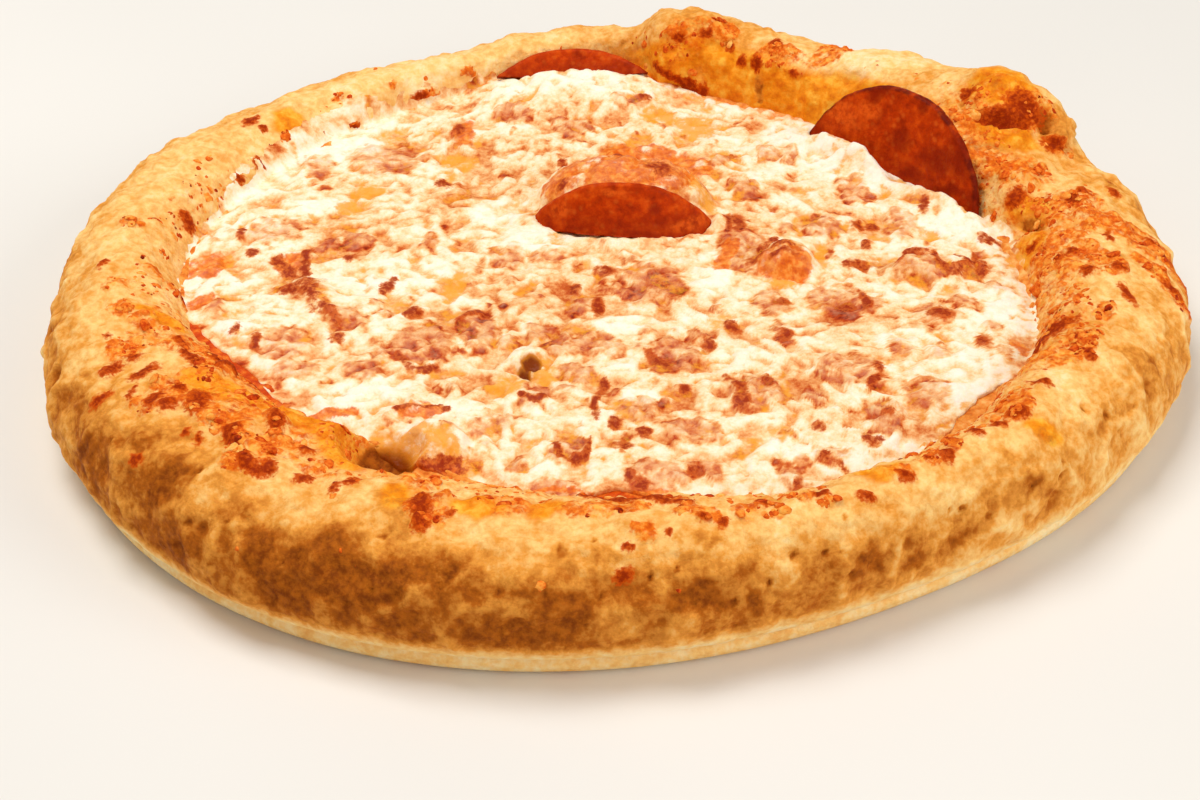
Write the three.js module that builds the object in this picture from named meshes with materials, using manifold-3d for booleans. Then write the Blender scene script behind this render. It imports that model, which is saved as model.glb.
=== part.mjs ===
// A pan pizza with a thick, puffed rim: dough, a dish of tomato sauce, the baked cheese that fills the well,
// and three slices of salami that stand out of the cheese.
// Millimetres, +Z up. The pizza rests on z = 0, -Y is its front and azimuths run anticlockwise from +X.
import * as THREE from "three";
import { mergeVertices } from "three/addons/utils/BufferGeometryUtils.js";
import Module from "manifold-3d";

const wasm = await Module();
wasm.setup();

// ---- Driving dimensions ----
const WALL_RADIUS = 147; // the rim's widest circle
const CREST_RADIUS = 125; // the rim's highest circle
const INNER_RADIUS = 111; // where the cheese meets the rim
const RIM_HEIGHT = 32.5; // above the table
const CHEESE_LEVEL = 22; // the cheese's mean surface
const WELL_FLOOR = 12; // the dough's thickness under the cheese
const GAP = 0.35; // between two pieces that touch
const STEPS = 120; // round the pizza
const SIMPLER = 0.1; // how far a surface may move to lose triangles

// The lower edge, shaped by the corner of the pan: radii are insets from the wall's
const FOOT = { inset: 4, flatInset: 6.5, level: 1.3 };
const LIP = { inset: 3.5, level: 3.4 };
const GROOVE = { inset: 4.8, level: 5 };

// The outer wall is a squarish arc from under the bulge to the crest, the inner side a quarter round
const BULGE_SHARE = 0.4; // the widest level, as a share of the rim's height
const UNDERCUT = { turn: -50, radius: 1.6, height: 1.3, clear: 6.4 }; // the arc's start, and its stretch under the bulge
const SQUARENESS = { radius: 0.85, height: 0.95 }; // exponents: 1 is a round arc
const WALL_POINTS = 9;
const INNER_POINTS = 7;

// Relief of the dough, from none at the foot to full at the crest: broad swells and smaller crags
const SWELL = { height: 1.7, size: 24 };
const CRAG = { height: 1.2, size: 11 };
const RELIEF_FROM = 6;

// Slow changes round the rim: at every 30 degrees, what the three radii and the height gain
const LOBE_SPREAD = 26;
const RIM_LOBES = [
  { azimuth: 0, wall: 7.5, crest: -2.5, inner: 0, height: -2 }, // broad right
  { azimuth: 30, wall: -3.5, crest: 5, inner: -9, height: 2 },
  { azimuth: 60, wall: -13, crest: -7, inner: 1.5, height: -4.5 },
  { azimuth: 90, wall: -6, crest: -4, inner: 0, height: -0.5 },
  { azimuth: 120, wall: -16, crest: -12, inner: -4, height: -1.5 }, // narrow back left
  { azimuth: 150, wall: 0.5, crest: -3, inner: -3, height: -2.5 },
  { azimuth: 180, wall: 1, crest: 4, inner: 6.5, height: 0.5 },
  { azimuth: 210, wall: 7.5, crest: 5.5, inner: 1, height: 0 },
  { azimuth: 240, wall: 7, crest: 7.5, inner: -8, height: 0 }, // thick front left
  { azimuth: 270, wall: 0, crest: 4, inner: 1, height: 0 },
  { azimuth: 300, wall: -5.5, crest: -0.5, inner: 2, height: 0 }, // flat front
  { azimuth: 330, wall: 2, crest: 5.5, inner: 5, height: 0 },
];

// The back right of the rim is folded over: higher, and nearer to the middle, with a blunt left end
const FOLD = { from: 24, to: 84.5, softRight: 8, softLeft: 1.4, crest: -9, inner: -12, height: 9.5 };
const FOLD_END_STEPS = [-0.7, -0.25, 0.25, 0.7]; // more sections there, as shares of softLeft

// Swellings and dips of the rim, by azimuth, radius and level of the middle, then size across and height
const RIM_BUMPS = [
  { azimuth: 77, radius: 108, level: 37, size: 11, height: 2.6 }, // the fold's blunt left end
  { azimuth: 80, radius: 101, level: 26, size: 7, height: 1.5 },
  { azimuth: 57, radius: 113, level: 38, size: 7, height: -2.2 },
  { azimuth: 49, radius: 113, level: 38, size: 7, height: 1.2 },
  { azimuth: 38, radius: 116, level: 38, size: 6, height: -1.5 },
  { azimuth: 30, radius: 127, level: 40, size: 9, height: 5 }, // the knob over the fold's right end
  { azimuth: 18, radius: 130, level: 33, size: 7, height: -4 }, // the dip after the fold
  { azimuth: 13, radius: 114, level: 28, size: 8, height: 4 }, // the lump at the right end of the slice
  { azimuth: 72, radius: 99, level: 28, size: 4, height: -1.6 }, // pleats of the fold's inner wall
  { azimuth: 66, radius: 99, level: 28, size: 6, height: 1.6 },
  { azimuth: 60, radius: 98, level: 28, size: 4, height: -1.5 },
  { azimuth: 54, radius: 97, level: 28, size: 5, height: 1.5 },
  { azimuth: 212, radius: 120, level: 29, size: 9, height: 2 }, // the broad inner ridge at the front left
  { azimuth: 228, radius: 113, level: 28, size: 10, height: 2.5 },
  { azimuth: 235, radius: 121, level: 33, size: 5, height: -1.8 },
  { azimuth: 243, radius: 112, level: 28, size: 8, height: -2.5 }, // lower beside the crater
  { azimuth: 248, radius: 102, level: 24, size: 6, height: -3 },
];

// The sauce lies on the well's floor and rises beside the cheese where the reach of a show is over HIDDEN
const SAUCE = { thickness: 1.6, top: 21.4, overlap: 4, hidden: 2.5, slope: 10, shoulder: 3 };
const SAUCE_SHOWS = [
  { azimuth: 209, spread: 16, reach: 6 },
  { azimuth: 278, spread: 17, reach: 11 },
  { azimuth: 321, spread: 12, reach: 9 },
];

// The cheese's own relief, and its fall towards the rim
const CHEESE_SWELL = { height: 1.1, size: 34 };
const CHEESE_EDGE = { overlap: 4, drop: 1.6, width: 5 };
const CHEESE_BOTTOM = 12.5;
const CHEESE_RINGS = 9;
const RING_POWER = 0.85; // under 1 draws the rings together at the edge
// Bubbles and lumps fused to the cheese: place, turn in degrees, then half sizes
const DOMES = [
  { at: [3, 30, 20.5], turn: -6, size: [26, 17, 13] }, // the bubble behind the middle slice
  { at: [-12, 96, 17], turn: 0, size: [44, 22, 9] }, // the rise to the back left slice
  { at: [46, -4, 21], turn: 10, size: [9, 7.5, 7] },
  { at: [-44, -86, 20], turn: -15, size: [9, 8, 7.5] }, // beside the crater
  { at: [-23, -50, 19], turn: 30, size: [8, 6, 5.5] },
  { at: [-78, -22, 18], turn: -60, size: [16, 7, 6.5] },
  { at: [84, -6, 18], turn: 10, size: [18, 8, 6.5] },
];
// Hollows in the cheese and the rim beside it
const DENTS = [
  { at: [-50, -100.5, 27.5], turn: -10, size: [10, 7.5, 10] }, // the crater at the front left
  { at: [107.5, 11, 29], turn: -30, size: [9, 5.5, 9] }, // between the fold and the right of the rim
  { at: [-23, -56, 25], turn: 0, size: [4, 3.5, 4] },
];

// Salami: one size of slice. Each stands in the cheese at its foot, turned about Z and leaning back from upright.
const SLICE = { radius: 33, thickness: 2.8, buried: 4, corner: 1, sides: 36 };
const SLICE_RINGS = [0, 0.3, 0.6, 0.85]; // shares of the radius, so that the flat faces can bow
const RIPPLES = 7; // of the edge's wave, over half a chord, in radians
const ROOM_STEP = 3;
// shown is the height above the foot, bulge how far the middle bows out to the front, wave the edge's ripple, and
// room how far the dough and the bubble keep away in front of it
const SLICES = [
  { name: "salami_middle", foot: [2.5, 19.5, 22.3], turn: -5, lean: 24, shown: 11, bulge: 10.5, wave: 0.4, room: 12 },
  { name: "salami_back_right", foot: [79.5, 44.5, 22.5], turn: -47, lean: 13, shown: 24, bulge: -2.5, wave: 0.8, room: 9 },
  { name: "salami_back_left", foot: [-13, 103.5, 27], turn: 3, lean: 40, shown: 5.5, bulge: -3, wave: 0.4, room: 3 },
];

const CRUST_LOOK = { color: 0xd9a05a, roughness: 0.8, metalness: 0 };
const SAUCE_LOOK = { color: 0xb23a12, roughness: 0.4, metalness: 0 };
const CHEESE_LOOK = { color: 0xf6e3b4, roughness: 0.4, metalness: 0 };
const SALAMI_LOOK = { color: 0xa83a10, roughness: 0.45, metalness: 0 };

// ---- Numbers ----
const radians = THREE.MathUtils.degToRad;
const { lerp, smoothstep, euclideanModulo } = THREE.MathUtils;

/** The signed angle from one azimuth to another, in degrees. */
const turnBetween = (from, to) => euclideanModulo(to - from + 180, 360) - 180;

/** A smooth hump of height 1 round one azimuth. */
const hump = (azimuth, middle, spread) => Math.exp(-((turnBetween(middle, azimuth) / spread) ** 2));

/** The point at an azimuth, a radius and a level. */
function pointAt(azimuth, radius, level) {
  const a = radians(azimuth);
  return new THREE.Vector3(radius * Math.cos(a), radius * Math.sin(a), level);
}

/** A fixed pseudo-random value from 0 to 1 for a point of the integer lattice. */
function latticeValue(x, y, z, seed) {
  let h = Math.imul(x, 374761393) ^ Math.imul(y, 668265263) ^ Math.imul(z, 2147483647) ^ Math.imul(seed, 974711);
  h = Math.imul(h ^ (h >>> 13), 1274126177);
  return ((h ^ (h >>> 16)) >>> 0) / 4294967295;
}

/** Smooth noise from -1 to 1 whose features are about size across. */
function noise(point, size, seed) {
  const scaled = point.clone().divideScalar(size);
  const cell = scaled.clone().floor();
  const t = scaled.sub(cell);
  const ease = [smoothstep(t.x, 0, 1), smoothstep(t.y, 0, 1), smoothstep(t.z, 0, 1)];
  let sum = 0;
  for (let corner = 0; corner < 8; corner++) {
    const [i, j, k] = [corner & 1, (corner >> 1) & 1, (corner >> 2) & 1];
    const weight = (i ? ease[0] : 1 - ease[0]) * (j ? ease[1] : 1 - ease[1]) * (k ? ease[2] : 1 - ease[2]);
    sum += weight * latticeValue(cell.x + i, cell.y + j, cell.z + k, seed);
  }
  return sum * 2 - 1;
}

// ---- Solids ----
/** A closed geometry as a solid. */
function solidOf(geometry) {
  const bare = geometry.clone();
  bare.deleteAttribute("normal");
  bare.deleteAttribute("uv");
  const merged = mergeVertices(bare, 1e-4);
  const triVerts = new Uint32Array(merged.index.array);
  return new wasm.Manifold(new wasm.Mesh({ numProp: 3, vertProperties: merged.attributes.position.array, triVerts }));
}

/** A solid as a geometry. */
function geometryOf(solid) {
  const { vertProperties, triVerts } = solid.getMesh();
  const geometry = new THREE.BufferGeometry();
  geometry.setAttribute("position", new THREE.BufferAttribute(vertProperties, 3));
  geometry.setIndex(new THREE.BufferAttribute(triVerts, 1));
  geometry.computeVertexNormals();
  return geometry;
}

/** A solid joined from some solids. */
const joined = (solids) => solids.reduce((sum, solid) => sum.add(solid));

/** A solid without what some cutters take. */
const without = (solid, cutters) => cutters.reduce((rest, cutter) => rest.subtract(cutter), solid);

/** The largest of a solid's separate parts. */
function largestPart(solid) {
  return solid.decompose().reduce((most, part) => (part.volume() > most.volume() ? part : most));
}

/** A section moved outwards by a distance. It runs anticlockwise, and starts and ends on the axis. */
function grown(section, distance) {
  return section.map((point, i) => {
    if (i === 0) return new THREE.Vector2(0, point.y - distance);
    if (i === section.length - 1) return new THREE.Vector2(0, point.y + distance);
    const before = point.clone().sub(section[i - 1]).normalize();
    const after = section[i + 1].clone().sub(point).normalize();
    const way = before.add(after).normalize();
    return new THREE.Vector2(point.x + way.y * distance, point.y - way.x * distance);
  });
}

// The azimuths of the sections: even steps, and finer ones at the fold's blunt end
const azimuths = Array.from({ length: STEPS }, (_, i) => (360 * i) / STEPS);
azimuths.push(...FOLD_END_STEPS.map((share) => FOLD.to + share * FOLD.softLeft));
azimuths.sort((a, b) => a - b);

/** The solid swept by a section that changes with the azimuth. */
function sweepRound(sectionAt) {
  const sections = azimuths.map(sectionAt);
  const rings = sections[0].length - 2;
  const [bottom, top] = [sections[0][0].y, sections[0][rings + 1].y];
  const points = [pointAt(0, 0, bottom), pointAt(0, 0, top)];
  const at = (step, ring) => 2 + (step % azimuths.length) * rings + ring;
  const faces = [];
  sections.forEach((section, step) => {
    const ringPoints = section.slice(1, -1);
    points.push(...ringPoints.map(({ x, y }) => pointAt(azimuths[step], x, y)));
    faces.push(0, at(step + 1, 0), at(step, 0));
    for (let ring = 0; ring < rings - 1; ring++) {
      faces.push(at(step, ring), at(step + 1, ring), at(step + 1, ring + 1));
      faces.push(at(step, ring), at(step + 1, ring + 1), at(step, ring + 1));
    }
    faces.push(at(step, rings - 1), at(step + 1, rings - 1), 1);
  });
  return solidOf(new THREE.BufferGeometry().setFromPoints(points).setIndex(faces));
}

/** A squashed ball, turned about Z. size holds its half sizes. */
function ball({ at, turn, size }) {
  const geometry = new THREE.SphereGeometry(1, 16, 10).rotateX(Math.PI / 2);
  geometry.scale(...size);
  geometry.rotateZ(radians(turn));
  return solidOf(geometry.translate(...at));
}

/** A block that fills everything under a level of a frame. */
function blockUnder(level, axis) {
  const reach = SLICE.radius * 4;
  const block = new THREE.BoxGeometry(reach, reach, reach);
  return solidOf(axis === "y" ? block.translate(0, level - reach / 2, 0) : block.translate(0, 0, level - reach / 2));
}

// ---- Dough ----
/** The rim's radii and height at an azimuth. */
function rimAt(azimuth) {
  const rim = { wall: WALL_RADIUS, crest: CREST_RADIUS, inner: INNER_RADIUS, height: RIM_HEIGHT };
  for (const lobe of RIM_LOBES) {
    const share = hump(azimuth, lobe.azimuth, LOBE_SPREAD);
    for (const key of Object.keys(rim)) rim[key] += share * lobe[key];
  }
  const { from, to, softRight, softLeft } = FOLD;
  const folded = smoothstep(azimuth, from - softRight, from) * (1 - smoothstep(azimuth, to - softLeft, to + softLeft));
  for (const key of ["crest", "inner", "height"]) rim[key] += folded * FOLD[key];
  return rim;
}

const rimBumps = RIM_BUMPS.map((bump) => ({ ...bump, middle: pointAt(bump.azimuth, bump.radius, bump.level) }));

/** The dough's relief at a point, outwards. */
function doughRelief(point) {
  const relief = SWELL.height * noise(point, SWELL.size, 1) + CRAG.height * noise(point, CRAG.size, 2);
  return rimBumps.reduce((sum, { middle, size, height }) => {
    return sum + height * Math.exp(-point.distanceToSquared(middle) / size ** 2);
  }, relief);
}

/** The dough's smooth section at an azimuth: underside, foot, outer wall, crest, inner side and the well's floor. */
function plainDoughSection({ wall, crest, inner, height }) {
  const foot = wall - FOOT.inset;
  const section = [
    new THREE.Vector2(0, 0),
    new THREE.Vector2(wall - FOOT.flatInset, 0),
    new THREE.Vector2(foot, FOOT.level),
    new THREE.Vector2(wall - LIP.inset, LIP.level),
    new THREE.Vector2(wall - GROOVE.inset, GROOVE.level),
  ];
  const bulge = height * BULGE_SHARE;
  for (let i = 0; i <= WALL_POINTS; i++) {
    const turn = radians(lerp(UNDERCUT.turn, 90, i / WALL_POINTS));
    const [across, up] = [Math.cos(turn), Math.sin(turn)];
    const underRadius = lerp(wall, foot, (1 - across) * UNDERCUT.radius);
    const underLevel = bulge + (bulge - UNDERCUT.clear) * up * UNDERCUT.height;
    const overRadius = crest + (wall - crest) * across ** SQUARENESS.radius;
    const overLevel = bulge + (height - bulge) * Math.max(up, 0) ** SQUARENESS.height;
    section.push(up < 0 ? new THREE.Vector2(underRadius, underLevel) : new THREE.Vector2(overRadius, overLevel));
  }
  const turnAtCheese = Math.asin((CHEESE_LEVEL - WELL_FLOOR) / (height - WELL_FLOOR));
  const innerReach = (crest - inner) / Math.cos(turnAtCheese);
  for (let i = 1; i <= INNER_POINTS; i++) {
    const turn = radians(lerp(90, 0, i / INNER_POINTS));
    section.push(new THREE.Vector2(crest - innerReach * Math.cos(turn), lerp(WELL_FLOOR, height, Math.sin(turn))));
  }
  section.push(new THREE.Vector2(0, WELL_FLOOR));
  return section;
}

/** The dough's section with its relief, which pushes it away from the rim's core. */
function doughSection(azimuth) {
  const rim = rimAt(azimuth);
  const core = new THREE.Vector2((rim.wall + rim.inner) / 2, rim.height * BULGE_SHARE);
  return plainDoughSection(rim).map((point) => {
    const share = smoothstep(point.y, RELIEF_FROM, RIM_HEIGHT);
    if (share === 0 || point.x === 0) return point;
    const outwards = point.clone().sub(core).normalize();
    return point.clone().addScaledVector(outwards, share * doughRelief(pointAt(azimuth, point.x, point.y)));
  });
}

/** The dough, or the dough grown by a gap, which cuts what lies on it. */
const makeDough = (gap = 0) => sweepRound((azimuth) => grown(doughSection(azimuth), gap));

// ---- Sauce ----
/** The sauce's section: thin on the floor, and up the rim's inner side where it shows. */
function sauceSection(azimuth) {
  const { inner } = rimAt(azimuth);
  const reach = Math.max(...SAUCE_SHOWS.map((show) => show.reach * hump(azimuth, show.azimuth, show.spread)));
  const edge = inner + SAUCE.hidden - reach;
  const floor = WELL_FLOOR + SAUCE.thickness;
  const below = WELL_FLOOR - SAUCE.thickness;
  return [
    new THREE.Vector2(0, below),
    new THREE.Vector2(inner + SAUCE.overlap, below),
    new THREE.Vector2(inner + SAUCE.overlap, SAUCE.top),
    new THREE.Vector2(edge, SAUCE.top),
    new THREE.Vector2(edge - SAUCE.shoulder, lerp(floor, SAUCE.top, 0.5)),
    new THREE.Vector2(edge - SAUCE.slope, floor),
    new THREE.Vector2(0, floor),
  ];
}

/** The sauce, or the sauce grown by a gap, before the dough cuts it. */
const makeSauce = (gap = 0) => sweepRound((azimuth) => grown(sauceSection(azimuth), gap));

// ---- Salami ----
/** A thin disc of salami, bowed and rippled, cut off under its buried foot, and set in its place. */
function makeSlice({ foot, turn, lean, shown, bulge, wave }, gap = 0) {
  const half = SLICE.thickness / 2 + gap;
  const radius = SLICE.radius + gap;
  const face = [...SLICE_RINGS.map((share) => share * radius), radius - SLICE.corner];
  const profile = [
    ...face.map((r) => new THREE.Vector2(r, -half)),
    new THREE.Vector2(radius, 0),
    ...face.reverse().map((r) => new THREE.Vector2(r, half)),
  ];
  const disc = new THREE.LatheGeometry(profile, SLICE.sides).rotateX(Math.PI / 2).translate(0, shown - SLICE.radius, 0);
  const halfChord = Math.sqrt(SLICE.radius ** 2 - (SLICE.radius - shown) ** 2);
  const position = disc.attributes.position;
  for (let i = 0; i < position.count; i++) {
    const across = position.getX(i) / halfChord;
    const bow = bulge * (1 - across ** 2);
    const ripple = wave * Math.sin(across * RIPPLES + foot[0]) * Math.abs(across);
    position.setZ(i, position.getZ(i) + bow + ripple);
  }
  const upright = geometryOf(solidOf(disc).subtract(blockUnder(-SLICE.buried - gap, "y")));
  return solidOf(upright.rotateX(radians(90 - lean)).rotateZ(radians(turn)).translate(...foot));
}

/** The room in front of a slice, above the cheese. */
function makeRoomInFront(slice) {
  const [x, y, z] = slice.foot;
  const a = radians(slice.turn);
  const moved = [];
  for (let way = ROOM_STEP; way <= slice.room; way += ROOM_STEP) {
    moved.push(makeSlice({ ...slice, foot: [x + Math.sin(a) * way, y - Math.cos(a) * way, z] }, ROOM_STEP * 0.6));
  }
  return joined(moved).subtract(blockUnder(CHEESE_LEVEL - CHEESE_EDGE.drop, "z").translate([x, y, 0]));
}

// ---- Cheese ----
/** The cheese's section at an azimuth, which runs into the rim. */
function cheeseSection(azimuth) {
  const { inner } = rimAt(azimuth);
  const edge = inner + CHEESE_EDGE.overlap;
  const section = [new THREE.Vector2(0, CHEESE_BOTTOM), new THREE.Vector2(edge, CHEESE_BOTTOM)];
  for (let ring = CHEESE_RINGS; ring > 0; ring--) {
    const r = edge * (ring / CHEESE_RINGS) ** RING_POWER;
    const drop = CHEESE_EDGE.drop * smoothstep(r, inner - CHEESE_EDGE.width, inner);
    const swell = CHEESE_SWELL.height * noise(pointAt(azimuth, r, 0), CHEESE_SWELL.size, 5);
    section.push(new THREE.Vector2(r, CHEESE_LEVEL + swell - drop));
  }
  section.push(new THREE.Vector2(0, CHEESE_LEVEL));
  return section;
}

/** The cheese with its bubbles and lumps, before anything cuts it. */
function makeCheese() {
  const domes = joined(DOMES.map(ball)).subtract(makeRoomInFront(SLICES[0]));
  return sweepRound(cheeseSection).add(domes);
}

// ---- The pizza ----
const pizza = new THREE.Group();

function addPiece(name, solid, look) {
  const geometry = geometryOf(largestPart(solid).simplify(SIMPLER));
  const mesh = new THREE.Mesh(geometry, new THREE.MeshStandardMaterial(look));
  mesh.name = name;
  pizza.add(mesh);
}

const dents = DENTS.map(ball);
const sliceCutters = SLICES.map((slice) => makeSlice(slice, GAP));
const rooms = SLICES.map(makeRoomInFront);
const doughCutter = makeDough(GAP);

addPiece("crust", without(makeDough(), [...dents, ...sliceCutters, ...rooms]), CRUST_LOOK);
addPiece("sauce", without(makeSauce(), [doughCutter]), SAUCE_LOOK);
addPiece("cheese", without(makeCheese(), [...dents, ...sliceCutters, doughCutter, makeSauce(GAP)]), CHEESE_LOOK);
for (const slice of SLICES) addPiece(slice.name, makeSlice(slice), SALAMI_LOOK);

// The origin is the centre of the bounding box, on the table
const box = new THREE.Box3().setFromObject(pizza);
const centre = box.getCenter(new THREE.Vector3());
pizza.position.set(-centre.x, -centre.y, -box.min.z);

export default pizza;
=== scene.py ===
"""The pan pizza, dressed on its CAD frame: dough, sauce, cheese, salami and toasted crumbs.

Shapes are worked out in millimetres about the middle of the pizza, with +Z up and -Y to the front, and are
placed in the frame in metres at the end. Azimuths run anticlockwise from +X, in degrees. A noise is given by
the size of its features and a seed, and the looks of a surface are values from 0 to 1 for each of its points,
which its material reads.
"""
import math

import bmesh
import bpy
import numpy as np
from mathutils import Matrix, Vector
from mathutils.bvhtree import BVHTree


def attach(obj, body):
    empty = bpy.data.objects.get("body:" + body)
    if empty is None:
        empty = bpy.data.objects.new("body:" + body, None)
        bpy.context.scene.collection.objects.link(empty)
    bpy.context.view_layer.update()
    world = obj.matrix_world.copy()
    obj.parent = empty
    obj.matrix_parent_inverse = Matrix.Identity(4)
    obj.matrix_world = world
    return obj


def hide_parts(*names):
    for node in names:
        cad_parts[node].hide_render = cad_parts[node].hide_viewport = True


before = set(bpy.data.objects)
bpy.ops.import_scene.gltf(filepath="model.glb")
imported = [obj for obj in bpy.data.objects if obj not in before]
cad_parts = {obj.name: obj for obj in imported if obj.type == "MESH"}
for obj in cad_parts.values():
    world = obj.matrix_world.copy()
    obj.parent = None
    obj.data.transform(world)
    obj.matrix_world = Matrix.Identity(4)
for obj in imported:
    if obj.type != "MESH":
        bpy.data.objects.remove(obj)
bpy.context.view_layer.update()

MM = 0.001
PIZZA_MIDDLE = np.array([-1.791, 7.452, 0.0])  # of the rim's circles, in the frame
UP = np.array([0.0, 0.0, 1.0])
DOWN = Vector((0, 0, -1))
PLAN = np.array([1, 1, 0])  # keeps a point's place on the table alone

# ---- Camera, found from the board's outline in the photograph ----
PHOTO_WIDTH, PHOTO_HEIGHT = 1200, 800
LENS, SENSOR = 68.07, 36.0
CAMERA_AT = np.array([-4.3, -525.55, 348.2])
LOOKS_AT = np.array([-4.3, -36.9, 0.0])
FOCAL_PIXELS = LENS / SENSOR * PHOTO_WIDTH
AHEAD = (LOOKS_AT - CAMERA_AT) / np.linalg.norm(LOOKS_AT - CAMERA_AT)
RIGHT = np.array([1.0, 0.0, 0.0])
UPRIGHT = np.cross(RIGHT, AHEAD)

# ---- The rim ----
RIM_COLUMNS, RIM_ROWS = 900, 100
SECTION_RAYS = 220
CORE_LEVEL = 13.0  # the circle inside the rim that its sections are read from
WELL_LEVEL = 20.0  # where the rim's inner wall is read
FAR_OUT, HIGH_UP = 300.0, 60.0  # outside the pizza and above it, where rays start
FOOT_INSET = 6.5
FOOT_LEVELS = (5.0, 9.0)  # the sections are smoothed above the foot
LAST_TURN = 170.0  # of a section, well under the cheese
RIM_SMOOTHING = 3.2  # columns
SECTION_SMOOTHING = 4.0  # rays
WELL_FLOOR = 12.3
UNDERSIDE_RINGS = 9
UNDERSIDE_DIMPLES = 0.5  # deep
CRATER = {  # the burst bubble at the front left
    "at": (-55.5, -92.5), "turn": -10, "size": (8.0, 9.0), "floor": 16.5, "lip": 22.5, "flare": 16.0,
}
CRATER_IN_DOUGH, CRATER_IN_SAUCE = 0.4, 1.5  # how much deeper than in the cheese
FRINGE = [  # how strongly the inner top is toasted: azimuth, spread, strength
    (222, 30, 1.0), (262, 22, 0.55), (290, 22, 0.5), (318, 20, 0.65), (352, 30, 0.85), (22, 14, 1.0),
    (76, 9, 0.9), (50, 16, 0.4), (105, 16, 0.15), (135, 22, 0.15), (172, 22, 0.4),
]
FOLD = (62, 24)  # the azimuth and spread of the folded stretch

# ---- The cheese ----
CHEESE_CELLS = 296  # each way
CHEESE_UNDER = 13.2
CHEESE_SOLID = 16.5  # a lower reading is a slit round a slice
EDGE_START, EDGE_LEVELS = 200.0, (18.3, 19.3)  # where the solid cheese's edge is read
EDGE_RADIUS = 111.0  # about the cheese's, for the noise along its edge
SHREDS, SHRED_SEED = 3000, 7
SHREDS_WITHIN = 122.0
SHRED_LENGTH, SHRED_WIDTH, SHRED_BEND = (4.0, 15.0), (1.2, 2.3), 0.06
CHEESE_SPREAD = 3.0  # over the dough, but for the places where the sauce shows
SAUCE_SHOWS = [(207, 14), (269, 10)]  # azimuth and spread
CHEESE_CLIMBS = [  # azimuth, spread and how much farther the cheese reaches
    (147, 22, 5.0), (120, 14, 2.0), (10, 16, 1.5), (284, 13, 3.8),
]
LAP_THICKNESS, LAP_CLIMB = 0.9, 1.6  # it climbs higher where it reaches farther
LAP_SMOOTHING = 1.6  # cells
CHEESE_MOUNDS = [  # the middle, half sizes, turn and height of each rise against a slice
    ((70.5, 51.5), 13, 5, -47, 6.5), ((61, 63), 7, 5, -47, 2.4), ((92, 30), 14, 5, -47, 4.0),
    ((-9, 103), 16, 5, 0, 0.8), ((28, 16.5), 4, 3, -5, 2.4), ((-23, 20.5), 4, 3, -5, 2.4),
    ((2.5, 7.6), 15, 3.2, -5, 1.7),
]

# ---- The sauce ----
SAUCE_ROWS, SAUCE_COLUMNS = 26, 720
SAUCE_INSIDE, SAUCE_WIDTH = 10, 24  # how far in from the cheese's edge it starts, and how wide it is
SAUCE_LOW, SAUCE_HIGH, SAUCE_UNDER = 13.6, 20.6, 12.6

# ---- Salami: the same slices as the solids ----
SLICE = {"radius": 33.0, "thickness": 2.8, "buried": 4.0, "rounding": 1.1}
SLICE_RADII, SLICE_SIDES = 44, 240
RIPPLES = 7
SLICES = {
    "salami_middle": {
        "foot": (2.5, 19.5, 22.3), "turn": -5, "lean": 24, "shown": 11, "bulge": 10.5, "wave": 0.4,
        "charred": 0.1,
    },
    "salami_back_right": {
        "foot": (79.5, 44.5, 22.5), "turn": -47, "lean": 13, "shown": 24, "bulge": -2.5, "wave": 0.8,
        "charred": 1.0,
    },
    "salami_back_left": {
        "foot": (-13, 103.5, 27), "turn": 3, "lean": 40, "shown": 5.5, "bulge": -3, "wave": 0.4,
        "charred": 0.2,
    },
}

# ---- Toasted crumbs ----
CRUMBS, CRUMB_SEED = 2300, 23
CRUMB_SIZES = (0.5, 1.6)  # half sizes
CRUMB_FLATNESS = 0.42
CRUMBS_ABOVE = 21.5

# ---- Studio ----
FLOOR_HALF, FLOOR_GAP = 4.0, 0.0002  # metres

# ---- Marks of the bake and of painted light and shade, as pixels of the photograph: x, y, half width, half height ----
MAX_STRETCH = 0.8  # millimetres to a pixel, where a surface is seen at a slant
MARK_DEPTH = 4.5  # how far from the surface a mark reaches at least

SCORCHED_CHEESE = [
    (385, 286, 7, 6), (241, 234, 4, 6), (252, 253, 6, 4), (348, 257, 4, 5), (603, 270, 9, 5),
    (573, 288, 7, 4), (661, 168, 10, 6), (728, 222, 5, 8), (738, 222, 6, 7), (858, 224, 7, 4),
    (873, 224, 5, 4), (866, 246, 5, 4), (858, 265, 13, 5), (922, 208, 5, 9), (990, 241, 9, 4),
    (412, 312, 9, 5), (336, 337, 8, 5), (255, 340, 5, 8), (234, 328, 4, 4), (616, 423, 8, 7),
    (645, 432, 8, 5), (577, 458, 7, 4), (630, 474, 7, 5), (643, 483, 8, 6), (695, 468, 8, 6),
    (742, 402, 8, 7), (783, 303, 7, 5), (785, 335, 6, 4), (845, 306, 8, 4), (865, 300, 5, 9),
    (872, 440, 11, 5), (821, 426, 8, 5), (800, 483, 5, 7), (940, 315, 12, 6), (733, 325, 6, 5),
    (770, 382, 5, 7), (620, 445, 10, 4), (709, 343, 6, 4), (686, 388, 6, 5), (598, 306, 6, 8),
    (888, 413, 6, 5), (982, 342, 5, 5), (437, 463, 25, 9), (645, 98, 6, 4), (460, 130, 5, 6),
    (562, 166, 4, 7), (563, 182, 5, 4), (620, 155, 5, 4), (444, 184, 8, 4),
]
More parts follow.
